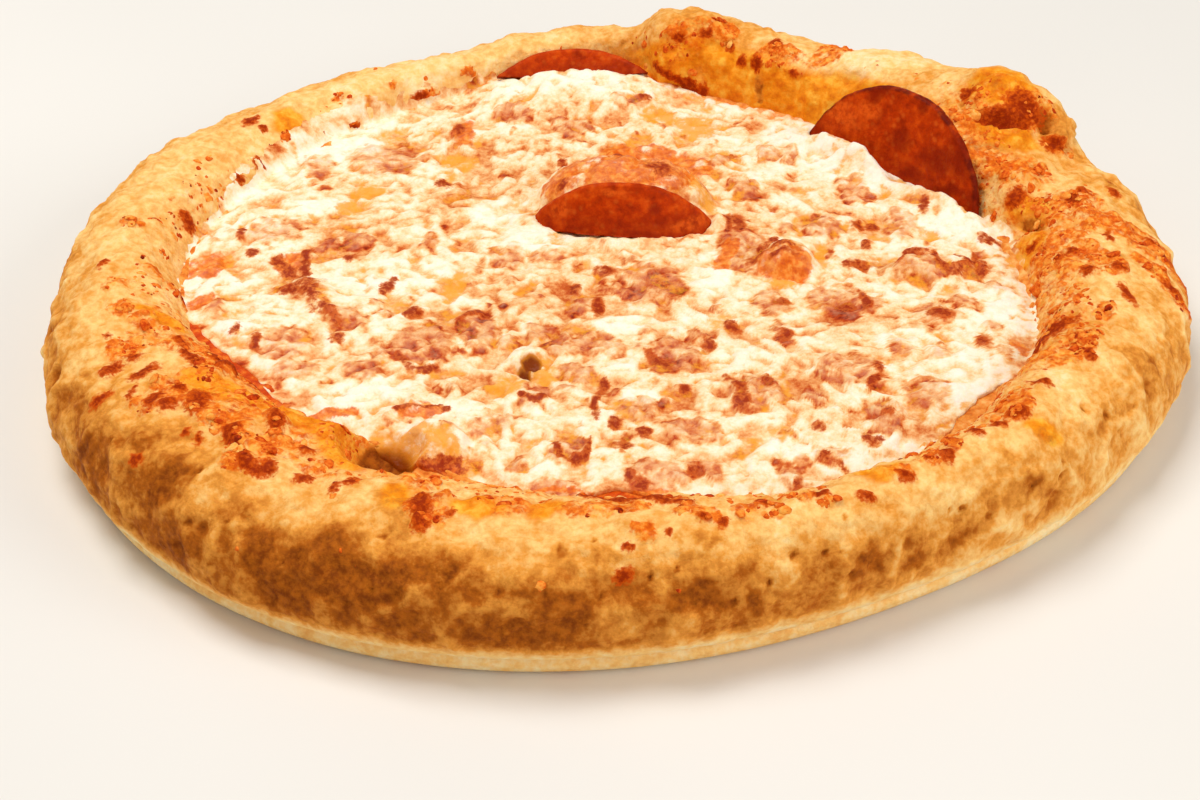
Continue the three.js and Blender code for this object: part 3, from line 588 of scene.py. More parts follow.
class Shader:
    """One node material, built from the surface's values to the shader."""

    def __init__(self, name, specular=0.5, soft=0.0, soft_radius=(1.0, 0.2, 0.1), soft_scale=0.05):
        self.material = bpy.data.materials.new(name)
        self.material.use_nodes = True
        self.tree = self.material.node_tree
        self.surface = self.tree.nodes["Principled BSDF"]
        settings = {
            "Specular IOR Level": specular, "Subsurface Weight": soft, "Subsurface Radius": soft_radius,
            "Subsurface Scale": soft_scale,
        }
        for socket, value in settings.items():
            self.surface.inputs[socket].default_value = value
        self.place = self.tree.nodes.new("ShaderNodeNewGeometry").outputs["Position"]

    def node(self, kind, inputs, output=0, **settings):
        """A node with some settings, whose inputs are other outputs or plain values."""
        node = self.tree.nodes.new(kind)
        for key, value in settings.items():
            setattr(node, key, value)
        for key, value in inputs.items():
            if isinstance(value, bpy.types.NodeSocket):
                self.tree.links.new(value, node.inputs[key])
            else:
                node.inputs[key].default_value = value
        return node.outputs[output]

    def look(self, name):
        """A value that the mesh holds for each point."""
        return self.node("ShaderNodeAttribute", {}, "Fac", attribute_name=name)

    def texture(self, kind, output, size, seed, **inputs):
        """A texture of the surface's place with features of a size in millimetres."""
        shifted = self.node("ShaderNodeVectorMath", {0: self.place, 1: (seed, seed, seed)}, operation="ADD")
        return self.node(kind, {"Vector": shifted, "Scale": 1 / (size * MM), **inputs}, output)

    def grain(self, size, detail=4.0, seed=0.0):
        """Noise, about 0 to 1."""
        return self.texture("ShaderNodeTexNoise", "Fac", size, seed, Detail=detail, Roughness=0.6)

    def varied(self, low, high, size, detail=4.0, seed=0.0):
        """Noise brought to between two values."""
        return self.span(self.grain(size, detail, seed), *GRAIN_SPAN, low, high)

    def cells(self, size, seed=0.0):
        """The distance to the nearest of some scattered points, as a share of their size."""
        return self.texture("ShaderNodeTexVoronoi", "Distance", size, seed)

    def add(self, a, b, clamped=True):
        """A sum, held between 0 and 1 if it is clamped."""
        return self.node("ShaderNodeMath", {0: a, 1: b}, operation="ADD", use_clamp=clamped)

    def times(self, a, b, clamped=True):
        """A product, held between 0 and 1 if it is clamped."""
        return self.node("ShaderNodeMath", {0: a, 1: b}, operation="MULTIPLY", use_clamp=clamped)

    def span(self, value, low, high, to_low=0.0, to_high=1.0):
        """A value brought smoothly from one span to another."""
        inputs = {"Value": value, "From Min": low, "From Max": high, "To Min": to_low, "To Max": to_high}
        return self.node("ShaderNodeMapRange", inputs, interpolation_type="SMOOTHSTEP")

    def broken(self, value, size, seed, by, rest=0.25):
        """A mark's value broken up by grain where there is a mark, and much less where there is none."""
        presence = self.span(value, 0.0, 0.3, rest, 1.0)
        return self.add(value, self.times(self.varied(-by, by, size, 5, seed), presence, False))

    def ramp(self, value, stops):
        """Colours along a value."""
        node = self.tree.nodes.new("ShaderNodeValToRGB")
        elements = node.color_ramp.elements
        while len(elements) < len(stops):
            elements.new(0.5)
        for element, (position, rgb) in zip(elements, stops):
            element.position, element.color = position, tint(rgb)
        self.tree.links.new(value, node.inputs[0])
        return node.outputs[0]

    def grained(self, colours, size, detail=5, seed=0.0, span=GRAIN_SPAN):
        """Three colours laid out by grain."""
        return self.ramp(self.grain(size, detail, seed), list(zip((span[0], 0.5, span[1]), colours)))

    def mix(self, share, under, over):
        """One colour laid over another."""
        over = over if isinstance(over, bpy.types.NodeSocket) else tint(over)
        return self.node("ShaderNodeMix", {"Factor": share, 6: under, 7: over}, 2, data_type="RGBA")

    def finish(self, colour, roughness, *bumps):
        """Sets colour, roughness and bumps, each a height from 0 to 1 and its size in millimetres."""
        self.tree.links.new(colour, self.surface.inputs["Base Color"])
        self.tree.links.new(roughness, self.surface.inputs["Roughness"])
        normal = None
        for height, depth in bumps:
            inputs = {"Height": height, "Distance": depth * MM, "Strength": 1.0}
            if normal is not None:
                inputs["Normal"] = normal
            normal = self.node("ShaderNodeBump", inputs)
        self.tree.links.new(normal, self.surface.inputs["Normal"])
        return self.material


def dough_material():
    s = Shader("baked_dough", 0.06, 0.08, (1.0, 0.5, 0.2), 0.003)
    patches = s.times(s.varied(-0.3, 0.3, 16.0, 4, 12.0), s.look("under"), False)
    toast = s.add(s.add(s.look("toast"), patches, False), s.varied(-0.11, 0.11, 2.2, 5))
    colour = s.ramp(toast, BAKED_DOUGH)
    gold = s.times(s.look("gold"), s.span(toast, 0.5, 0.8, 0.96, 0.1))  # it gives way where it is dark
    colour = s.mix(gold, colour, s.grained(GOLD, 4.0, 4, 9.0))
    rust = s.broken(s.look("rust"), 1.4, 6.0, 0.4)
    colour = s.mix(s.span(rust, 0.1, 1.0, 0.0, 0.95), colour, s.grained(RUST, 2.4, 5, 4.0, (0.32, 0.66)))
    # painted shade in the pits
    colour = s.mix(s.span(s.look("pore"), 0.5, 1.0, 0.0, 0.8), colour, PORE_SHADE)
    scorch = s.broken(s.look("scorch"), 1.2, 8.0, 0.3)
    colour = s.mix(s.span(scorch, 0.0, 0.6, 0.0, 0.97), colour, SCORCHED)
    colour = s.mix(s.span(scorch, 0.4, 1.1, 0.0, 0.97), colour, BURNT)
    roughness = s.varied(0.55, 0.85, 2.0, 3, 1.0)
    return s.finish(colour, roughness, (s.grain(2.2, 5, 3.0), 0.6), (s.grain(0.7, 4, 5.0), 0.2))


def cheese_material():
    s = Shader("baked_cheese", 0.1, 0.08, (1.0, 0.6, 0.25), 0.002)
    bake = s.add(s.look("bake"), s.varied(-0.09, 0.09, 3.0, 5), False)
    bake = s.add(bake, s.varied(-0.07, 0.07, 1.1, 4, 3.0))
    colour = s.ramp(bake, BAKED_CHEESE)
    colour = s.mix(s.times(s.look("ruddy"), s.varied(0.0, 0.5, 2.0, 4, 5.0)), colour, RUDDY_CHEESE)
    oil = s.broken(s.look("oil"), 2.4, 7.0, 0.4, 0.6)
    colour = s.mix(s.span(oil, 0.15, 1.1, 0.0, 0.9), colour, OIL)
    toasted = s.broken(s.look("toasted"), 2.4, 7.0, 0.4, 0.35)
    colour = s.mix(s.span(toasted, 0.05, 0.9, 0.0, 0.92), colour, s.grained(CRISP_CHEESE, 2.2, 5, 11.0))
    burnt = s.broken(s.look("scorch"), 1.3, 8.0, 0.35, 0.5)
    colour = s.mix(s.span(burnt, 0.1, 0.7, 0.0, 0.9), colour, CHEESE_SCORCH)
    colour = s.mix(s.span(burnt, 0.45, 1.15, 0.0, 0.95), colour, CHEESE_BURNT)
    # painted shade in the holes and in the burst bubble
    pit_shade = s.look("pit_shade")
    colour = s.mix(s.span(pit_shade, 0.0, 0.4, 0.0, 0.97), colour, PIT_SIDE_SHADE)
    colour = s.mix(s.span(pit_shade, 0.3, 1.0, 0.0, 0.97), colour, PIT_FLOOR_SHADE)
    roughness = s.varied(0.32, 0.6, 2.5, 3, 1.0)
    return s.finish(colour, roughness, (s.grain(1.8, 4, 2.0), 0.4), (s.grain(0.6, 3, 5.0), 0.1))


def sauce_material():
    s = Shader("tomato_sauce", 0.1, 0.1, (1.0, 0.2, 0.1), 0.002)
    colour = s.mix(s.look("wet"), s.grained(DRIED_SAUCE, 3.0, 5, 4.0), s.grained(WET_SAUCE, 3.0))
    return s.finish(colour, s.varied(0.3, 0.55, 2.0, 3, 1.0), (s.grain(1.2, 4, 3.0), 0.3))


def salami_material():
    s = Shader("baked_salami", 0.06, 0.05, (1.0, 0.25, 0.1), 0.002)
    colour = s.grained(MEAT, 3.6, 6, 0.0, (0.3, 0.68))
    fat = s.times(s.span(s.cells(2.6, 2.0), 0.1, 0.45, 1.0, 0.0), s.span(s.grain(6.0, 2, 4.0), 0.4, 0.6))
    colour = s.mix(s.times(fat, 0.3), colour, FAT)
    dark = s.times(s.span(s.cells(3.4, 7.0), 0.1, 0.3, 0.35, 0.0), s.grain(4.0, 3, 6.0))
    colour = s.mix(dark, colour, DARK_MEAT)
    # painted shade, darker towards where a slice goes into the cheese
    colour = s.mix(s.span(s.look("shade"), 0.0, 1.0, 0.0, 0.7), colour, SHADED_MEAT)
    # painted highlight on the slices
    highlight_share = s.times(s.look("highlight"), s.span(s.grain(2.4, 5, 12.0), 0.35, 0.65, 0.1, 0.9))
    colour = s.mix(highlight_share, colour, HIGHLIGHT_MEAT)
    char = s.times(s.look("edge"), s.varied(0.3, 1.0, 4.0, 4, 9.0))
    colour = s.mix(s.span(char, 0.1, 0.9, 0.0, 0.9), colour, CHARRED_MEAT)
    roughness = s.varied(0.35, 0.6, 1.6, 3, 1.0)
    return s.finish(colour, roughness, (s.grain(1.7, 4, 3.0), 0.35), (s.grain(0.5, 3, 5.0), 0.1))


def crumb_material():
    s = Shader("toasted_crumbs", 0.06, 0.06, (1.0, 0.4, 0.2), 0.002)
    colour = s.ramp(s.add(s.look("tone"), s.varied(-0.16, 0.16, 1.2, 4)), CRUMB_TONES)
    return s.finish(colour, s.varied(0.5, 0.8, 1.4, 3, 1.0), (s.grain(0.8, 4, 3.0), 0.25))


# ---- Dough ----
def column_ways(count):
    """Unit ways out from the middle, an even turn apart."""
    azimuths = np.radians(np.arange(count) * 360 / count)
    return np.stack([np.cos(azimuths), np.sin(azimuths), np.zeros(count)], 1)


def read_sections(outwards):
    """The core circle's radii, the turns of the rays from it, and how far out they meet the solid rim."""
    cores, turns = np.zeros(RIM_COLUMNS), np.zeros((RIM_COLUMNS, SECTION_RAYS))
    distances = np.zeros((RIM_COLUMNS, SECTION_RAYS))
    for i, way in enumerate(outwards):
        wall = dough_tree.ray_cast(Vector(way * FAR_OUT + UP * CORE_LEVEL), Vector(-way))[0].xy.length
        inner = dough_tree.ray_cast(Vector(UP * WELL_LEVEL), Vector(way))[0].xy.length
        cores[i] = (wall + inner) / 2
        first = math.atan2(-CORE_LEVEL, wall - FOOT_INSET - cores[i])
        turns[i] = np.linspace(first, math.radians(LAST_TURN), SECTION_RAYS)
        start = Vector(way * cores[i] + UP * CORE_LEVEL)
        for k, turn in enumerate(turns[i]):
            reach = dough_tree.ray_cast(start, Vector(way * math.cos(turn) + UP * math.sin(turn)))[3]
            distances[i, k] = distances[i, k - 1] if reach is None else reach
    return cores, turns, distances


def rim_points():
    """The rim's surface as a grid: columns round it, and rows an even way apart from foot to well."""
    outwards = column_ways(RIM_COLUMNS)
    cores, turns, distances = read_sections(outwards)
    distances = smoothed(distances, RIM_SMOOTHING, 0, True)
    cores = smoothed(cores, RIM_SMOOTHING, 0, True)
    share = smoothstep(CORE_LEVEL + distances * np.sin(turns), *FOOT_LEVELS)
    distances += share * (smoothed(distances, SECTION_SMOOTHING, 1, False) - distances)
    grid = np.empty((RIM_COLUMNS, RIM_ROWS, 3))
    for i in range(RIM_COLUMNS):
        radius = cores[i] + distances[i] * np.cos(turns[i])
        section = outwards[i] * radius[:, None] + UP * (CORE_LEVEL + distances[i] * np.sin(turns[i]))[:, None]
        way = np.concatenate([[0], np.cumsum(np.linalg.norm(np.diff(section, axis=0), axis=1))])
        even = np.linspace(0, way[-1], RIM_ROWS)
        grid[i] = np.stack([np.interp(even, way, section[:, k]) for k in range(3)], 1)
    return grid


class Forms:
    """The values for each point of a surface that its relief and its looks are both made of."""


def dough_forms(grid):
    """What the dough's relief and looks are made of, for each point of the rim."""
    f = Forms()
    f.flat = flat = grid.reshape(-1, 3)
    f.level = flat[:, 2]
    crest = grid[:, :, 2].argmax(1)[:, None]
    row = np.arange(RIM_ROWS)[None, :]
    f.inner = inner = np.clip((row - crest) / (RIM_ROWS - crest), 0, 1).ravel()  # from the crest to the well
    f.outer = np.clip((crest - row) / crest, 0, 1).ravel()  # from the crest to the foot
    f.azimuth = np.degrees(np.arctan2(flat[:, 1], flat[:, 0])) % 360
    f.strength = np.max([s * around(f.azimuth, a, w) for a, w, s in FRINGE], axis=0)
    f.top = smoothstep(f.level, 20.0, 31.0)
    f.wall = smoothstep(f.outer, 0.15, 0.45) * smoothstep(f.level, 6.0, 13.0)
    folded = np.exp(-((f.azimuth - FOLD[0]) / FOLD[1]) ** 2)
    f.folds = folded * smoothstep(inner, 0.15, 0.4)
    f.fringe = smoothstep(inner, -0.02, 0.16) * (1 - smoothstep(inner, 0.7, 0.85)) * f.strength
    f.fringe *= 1 - 0.8 * smoothstep(folded, 0.2, 0.6) * smoothstep(inner, 0.15, 0.35)
    f.swell, f.lumps, f.fine = fractal(flat, 14.0, 11), fractal(flat, 6.0, 14), fractal(flat, 2.6, 17, 2)
    f.veins = 1 - smoothstep(ridges(flat, 15.0, 26), 0.0, 0.5)  # thin raised creases between dimples
    f.knobs = fractal(flat, 4.6, 15)
    f.dimples = spots(flat, 9.0, 0.55, (2.4, 5.0), 28) ** 0.8
    pores = spots(flat * np.array([1, 1, 1.4]), 6.5, 0.4, (0.6, 1.5), 40)
    f.pore = np.maximum(pores * smoothstep(f.outer, 0.0, 0.3) * 0.5, 0.9 * marked(flat, PITS, 0.5, 50))
    f.scorch = np.maximum(
        marked(flat, SCORCHED_DOUGH, 1.1, 52, 1.3), marked(flat, along(SCORCHED_AND_SHADOW_DOUGH_LINES), 1.0, 56, 1.25)
    )
    f.rusty = np.maximum(f.fringe, smoothstep(marked(flat, RUSTY_DOUGH, 2.2, 60), 0, 0.5))
    f.islands = smoothstep(fractal(flat, 3.0, 102) + 0.2 * f.swell + 1.25 * f.rusty, 0.8, 1.3)
    f.brown = marked(flat, BROWN_DOUGH, 2.6, 64, 1.3)
    gold = smoothstep(marked(flat, GOLDEN_DOUGH, 2.4, 66, 1.2), 0.0, 0.6)
    f.gold = np.maximum(gold, smoothstep(f.folds, 0.1, 0.4) * smoothstep(inner, 0.15, 0.35))
    f.hollow = raised(flat, HOLLOWS, 0.6, 67, 1.3)
    return f


def dough_relief(f):
    """How far each point of the dough stands out from the solid."""
    r, flat = DOUGH_RELIEF, f.flat
    relief = r["swell"] * f.swell + r["lumps"] * f.lumps + (r["fine"] + r["fine on top"] * f.top) * f.fine
    relief += (r["cracks"] + r["toasted cracks"] * f.strength) * f.top * (ridges(flat, 8.0, 20) - 0.3)
    relief += r["veins"] * f.wall * f.veins
    relief += r["knobs"] * f.wall * f.knobs
    relief -= r["dimples"] * f.wall * f.dimples
    relief += f.folds * r["folds"] * (ridges(flat * np.array([1, 1, 0.25]), 9.0, 24) - 0.3)
    blisters = spots(flat, 8.0, 0.45, (1.6, 3.6), 30) ** 0.8
    relief += r["blisters"] * blisters * smoothstep(f.outer, -0.4, 0.3) * (1 - f.wall)
    grit = spots(flat, 3.6, 0.6, (0.8, 2.2), 68)
    relief += f.islands * (r["islands"] + r["grit"] * grit) - r["pores"] * f.pore + r["scorch"] * f.scorch
    relief += r["bubbles"] * f.top * spots(flat, 6.0, 0.5, (1.2, 3.2), 72) ** 0.8
    inward = smoothstep(f.inner, 0.0, 0.1)
    inner_mean = np.average(relief, weights=inward + 1e-6)
    relief -= inner_mean * inward + np.average(relief, weights=f.outer) * (1 - inward)
    relief += raised(flat, LUMPS, 1.0, 69, 1.4) - r["sunk inside"] * inward
    return relief * smoothstep(f.level, 4.5, 11.0)  # nothing moves at the foot


def dough_looks(f, shaded):
    """The dough's looks. Hollows and the burst bubble get painted shade."""
    t, flat, azimuth = DOUGH_TOAST, f.flat, f.azimuth
    spread, small, flecks = fractal(flat, 16.0, 80), fractal(flat, 6.0, 84), fractal(flat, 3.2, 86)
    toast = t["base"] + t["spread"] * spread + t["small"] * small
    # Paler on raised lumps, as painted light.
    toast = toast - t["lumps"] * f.lumps + t["flecks"] * flecks
    # On the wall: darker at the front, partly bake and partly painted shade; darker in dimples as painted
    # shade; paler on veins, knobs and fine relief as painted light.
    on_wall = t["wall"] + t["front"] * around(azimuth, 247, 45) + t["dimples"] * f.dimples
    toast += f.wall * (on_wall - t["veins"] * f.veins - t["knobs"] * f.knobs - t["fine"] * f.fine)
    # Painted light: the crest is paler, most at the back left.
    back = t["crest"] + t["back"] * around(azimuth, 125, 35)
    toast -= back * smoothstep(f.outer, 0.3, 0.0) * (1 - f.fringe)
    # Painted light: the low band over the foot is paler; it is darker again at the very bottom.
    toast -= t["lip"] * smoothstep(f.level, 14.0, 8.0) - t["foot"] * smoothstep(f.level, 6.0, 3.0)
    fold = t["fold"] * around(azimuth, 75, 22) - t["pale fold"] * around(azimuth, 50, 9)
    toast += fold * smoothstep(f.outer, 0.5, 0.1) * (1 - f.gold)
    # Painted shade in the pores.
    toast += t["pores"] * f.pore
    toast += t["marks"] * smoothstep(f.brown, 0.0, 0.9) + t["folds"] * f.folds
    toast -= t["flour"] * smoothstep(fractal(flat, 9.0, 90), 0.0, 0.5) * (1 - 0.6 * f.fringe)
    toast = np.minimum(toast, t["most"])
    rust = np.maximum(f.islands, 0.42 * f.rusty) * (1 - 0.5 * f.gold)
    verge = smoothstep(f.inner, 0.3, 0.5) * f.strength  # down to the cheese
    rust = np.maximum(rust, verge * (0.55 + 0.5 * fractal(flat, 3.0, 103)) * (1 - f.gold))
    specks = spots(flat, 5.2, 0.5, (0.5, 1.5), 94) * smoothstep(fractal(flat, 12.0, 98), -0.1, 0.4)
    scorch = np.maximum(f.scorch, 0.7 * specks * np.maximum(f.fringe, verge) * (1 - shaded))
    # Painted shade in the hollows and the burst bubble.
    toast = toast + (t["shade in hollows"] - toast) * shaded
    rust, gold = rust * (1 - shaded), f.gold * (1 - shaded)
    under = np.zeros(len(toast))
    return {"toast": toast, "rust": rust, "scorch": scorch, "pore": f.pore, "gold": gold, "under": under}


def dough_mesh(grid, looks, material):
    """The rim with the dough's underside and the floor under the cheese."""
    rim = grid.transpose(1, 0, 2).reshape(-1, 3)
    looks = {key: values.reshape(grid.shape[:2]).T.ravel() for key, values in looks.items()}
    last = len(rim) - RIM_COLUMNS
    foot, brink = rim[:RIM_COLUMNS], rim[last:]
    rings, values = [], {key: [] for key in looks}
    for ring in range(1, UNDERSIDE_RINGS):
        under = foot * (1 - (ring / UNDERSIDE_RINGS) ** 1.3)
        under[:, 2] = 0.0
        under[:, 2] = UNDERSIDE_DIMPLES * smoothstep(noise(under, 45.0, 110), 0.0, 0.7)
        rings.append(under)
        for key in looks:
            values[key].append(np.full(RIM_COLUMNS, float(key == "under")))
        values["toast"][-1] = 0.6 + 0.12 * noise(under, 50.0, 114)
    floor = brink * 0.96
    floor[:, 2] = WELL_FLOOR
    points = np.concatenate([rim, *rings, [[0, 0, 0.3]], floor, [[0, 0, WELL_FLOOR]]])
    hub, well_hub = len(rim) + RIM_COLUMNS * (UNDERSIDE_RINGS - 1), len(points) - 1
    step = np.arange(RIM_COLUMNS)
    floor_loop = hub + 1 + step

    faces = grid_faces(RIM_ROWS, RIM_COLUMNS, True).tolist()
    loops = [step] + [len(rim) + RIM_COLUMNS * k + step for k in range(UNDERSIDE_RINGS - 1)]
    for a, b in zip(loops, loops[1:]):
        faces += band(a, b)
    faces += fan(loops[-1], hub)
    faces += band(last + step, floor_loop, True) + fan(floor_loop, well_hub, True)
    rest = {"toast": 0.6, "under": 1.0}
    for key in looks:
        tail = np.full(RIM_COLUMNS + 2, rest.get(key, 0.0))
        looks[key] = np.concatenate([looks[key], *values[key], tail])
    build("dough", material, points, faces, looks, ["crust"])


def make_dough(material):
    grid = rim_points()
    f = dough_forms(grid)
    flat_shape = grid.shape[:2]
    moved = grid + grid_normals(grid) * dough_relief(f).reshape(flat_shape)[:, :, None]
    moved[:, :, 2] = np.maximum(moved[:, :, 2] - f.hollow.reshape(flat_shape), 0.0)
    level, share = under_crater(moved.reshape(-1, 3))
    dented = np.minimum(moved[:, :, 2], level.reshape(flat_shape) - CRATER_IN_DOUGH)
    moved[:, :, 2] = np.where(moved[:, :, 2] > CRATER["floor"] - 1, dented, moved[:, :, 2])
    # Painted shade in the hollows and the burst bubble.
    shaded = np.maximum(smoothstep(f.hollow, 0.4, 2.5), smoothstep(share, 1.05, 0.75) * (f.level > 15))
    looks = dough_looks(f, shaded)
    dough_mesh(moved, looks, material)
    return moved, grid_normals(moved), np.maximum(f.fringe, looks["rust"])


def tree_of_rim(grid):
    """The dressed rim's surface, for what is laid on it."""
    points = grid.transpose(1, 0, 2).reshape(-1, 3)
    return BVHTree.FromPolygons(points.tolist(), grid_faces(RIM_ROWS, RIM_COLUMNS, True).tolist())


# ---- Cheese ----
def disc_from_square(cells):
    """Points of a square grid spread evenly over a disc of radius 1."""
    side = np.linspace(-1, 1, cells + 1)
    a, b = np.meshgrid(side, side)
    wide = np.abs(a) >= np.abs(b)
    safe_a, safe_b = np.where(a == 0, 1, a), np.where(b == 0, 1, b)
    radius = np.where(wide, a, b)
    angle = np.where(wide, np.pi / 4 * b / safe_a, np.pi / 2 - np.pi / 4 * a / safe_b)
    return np.stack([radius * np.cos(angle), radius * np.sin(angle)], -1)


def cheese_edge(azimuths):
    """How far out the solid cheese reaches at some azimuths, given in radians."""
    reach = np.zeros(len(azimuths))
    for i, a in enumerate(azimuths):
        way = Vector((math.cos(a), math.sin(a), 0))
        hits = [cheese_tree.ray_cast(way * EDGE_START + Vector((0, 0, z)), -way)[0] for z in EDGE_LEVELS]
        reach[i] = max(h.xy.length for h in hits if h is not None)
    return reach


def shred_relief(points):
    """Melted shreds as low ropes: how high the highest one is at each point, 0 to 1."""
    rng = np.random.default_rng(SHRED_SEED)
    height = np.zeros(len(points))
    for _ in range(SHREDS):
        middle = rng.uniform(-SHREDS_WITHIN, SHREDS_WITHIN, 2)
        turn, bend = rng.uniform(0, math.pi), rng.uniform(-SHRED_BEND, SHRED_BEND)
        half, thick = rng.uniform(*SHRED_LENGTH) / 2, rng.uniform(*SHRED_WIDTH)
        strength = rng.uniform(0.55, 1.0)
        near = np.nonzero(np.abs(points - middle).max(1) < half + thick)[0]
        if len(near) == 0:
            continue
        way = points[near] - middle
        ahead = way @ [math.cos(turn), math.sin(turn)]
        aside = way @ [-math.sin(turn), math.cos(turn)] + bend * (ahead**2 - half**2 / 3)
        beyond = np.maximum(np.abs(ahead) - half + thick, 0)
        profile = 1 - (aside**2 + beyond**2) / thick**2
        height[near] = np.maximum(height[near], strength * np.clip(profile, 0, 1) ** 0.6)
    return height


def cheese_plan():
    """The cheese's points from above, with each one's azimuth, share of the way out and added reach."""
    disc = disc_from_square(CHEESE_CELLS)
    azimuths = np.radians(np.arange(0, 360, 1.0))
    edge = smoothed(cheese_edge(azimuths), 1.5, 0, True)
    turn = np.arctan2(disc[..., 1], disc[..., 0]) % (2 * math.pi)
    reach = np.interp(turn.ravel(), np.append(azimuths, 2 * math.pi), np.append(edge, edge[0]))
    way = np.stack([np.cos(turn), np.sin(turn), np.zeros_like(turn)], -1).reshape(-1, 3) * EDGE_RADIUS
    ragged = (1.5 * fractal(way, 11.0, 201) + 1.2 * fractal(way, 4.5, 204)).reshape(turn.shape)
    azimuth = np.degrees(turn)
    open_sauce = np.max([around(azimuth, a, w) for a, w in SAUCE_SHOWS], axis=0)
    farther = np.sum([mm * around(azimuth, a, w) for a, w, mm in CHEESE_CLIMBS], axis=0)
    reach = reach.reshape(turn.shape) + CHEESE_SPREAD * (1 - open_sauce) + farther + 0.6 + ragged
    return disc * reach[..., None], azimuth, np.linalg.norm(disc, axis=-1), farther


def cheese_levels(flat, azimuth, out, farther, rim_tree):
    """The solid cheese's level at each point, and that of a sheet that climbs onto the dough."""
    level = np.full(out.shape, np.nan)
    for i in np.ndindex(level.shape):
        hit = cheese_tree.ray_cast(Vector((*flat[i], HIGH_UP)), DOWN)[0]
        if hit is not None and (hit.z > CHEESE_SOLID or out[i] > 0.93):
            level[i] = hit.z
    missing = np.isnan(level)
    level[missing] = np.nanmedian(level)
    for _ in range(60):  # heals the slits round the slices and beyond the solid's edge
        mean = sum(np.roll(level, step, axis) for axis in (0, 1) for step in (1, -1)) / 4
        level[missing] = mean[missing]
    level = smoothed(smoothed(level, 1.3, 0, False), 1.3, 1, False)
    steepest = LAP_CLIMB * (1 - around(azimuth, FOLD[0], 30)) + 1.2 * farther
    lap = np.full(out.shape, -50.0)
    for i in zip(*np.nonzero(out > 0.88)):
        hit = rim_tree.ray_cast(Vector((*flat[i], HIGH_UP)), DOWN)[0]
        if hit is not None:
            lap[i] = min(hit.z, level[i] + steepest[i])
    drape = np.maximum(lap, level - 3.0)
    return level, smoothed(smoothed(drape, LAP_SMOOTHING, 0, False), LAP_SMOOTHING, 1, False)


def cheese_forms(points):
    """What the cheese's relief and looks are made of, for each of its points."""
    f = Forms()
    f.plan = plan = points * PLAN
    f.shreds = shred_relief(points[:, :2])
    f.wobbled = plan + 1.8 * np.stack([fractal(plan, 4.0, 214 + k) for k in range(3)], 1)
    f.crumbled, f.skin = fractal(points, 3.4, 220), fractal(points, 1.8, 227)
    f.pale = smoothstep(marked(points, PALE_CHEESE, 2.8, 224, 1.3), 0.0, 0.6)
    patchy = smoothstep(fractal(plan, 30.0, 222), -0.35, 0.35)
    scattered = spots(f.wobbled, 6.0, 0.8, (1.0, 3.8), 218) * (0.35 + 0.4 * patchy)
    blotch = np.maximum(marked(points, BROWNED_CHEESE, 2.6, 210, 1.4), scattered * (1 - f.pale))
    f.blotch = smoothstep(blotch * (1 + 0.6 * f.crumbled) + 0.22 * f.crumbled + 0.3 * f.skin, 0.1, 0.8)
    lines = marked(points, along(SCORCHED_LINES), 1.1, 234, 1.35) * (0.85 + 0.6 * fractal(points, 4.0, 235))
    scorch = np.maximum(marked(points, SCORCHED_CHEESE, 1.2, 230, 1.4), lines)
    f.scorch = np.clip(scorch + 0.5 * fractal(points, 2.0, 236, 2) * smoothstep(scorch, 0.0, 0.3), 0, 1)
    f.toasted = smoothstep(marked(points, TOASTED_CHEESE, 1.8, 244, 1.2), 0.0, 0.5) * (1.1 + 0.3 * f.crumbled)
    f.toasted -= 0.6 * smoothstep(fractal(points, 5.0, 249), 0.1, 0.35)
    f.oil = marked(points, OILY_CHEESE, 3.2, 242, 1.3) + 0.5 * fractal(points, 4.0, 243)
    f.holes = marked(points, CHEESE_HOLES, 0.5, 246)
    f.glaze = smoothstep(marked(points, GLAZED_CHEESE, 1.2, 248), 0.0, 0.7)
    return f


def cheese_relief(f, points, border):
    """How far each point of the cheese rises over the solid. Its border stays low."""
    r = CHEESE_RELIEF
    rise = r["shreds"] * f.shreds + r["blotches"] * f.blotch + r["scorch"] * f.scorch
    rise += r["fine"] * fractal(points, 2.2, 254, 2)
    crisp = np.clip(f.toasted, 0, 1)
    rise += r["swell"] * fractal(f.plan, 9.0, 257) + r["crisp"] * crisp * fractal(points, 3.6, 259)
    rise -= r["oil"] * smoothstep(f.oil, 0.2, 0.8) + r["holes"] * f.holes
    for (x, y), long, wide, turn, height in CHEESE_MOUNDS:
        away = f.plan[:, :2] - (x, y)
        c, s = math.cos(math.radians(turn)), math.sin(math.radians(turn))
        rise += height * np.exp(-((away @ (c, s) / long) ** 2 + (away @ (-s, c) / wide) ** 2))
    return (rise - rise.mean() - 0.1) * (0.25 + 0.75 * border) - r["edge drop"] * (1 - border)


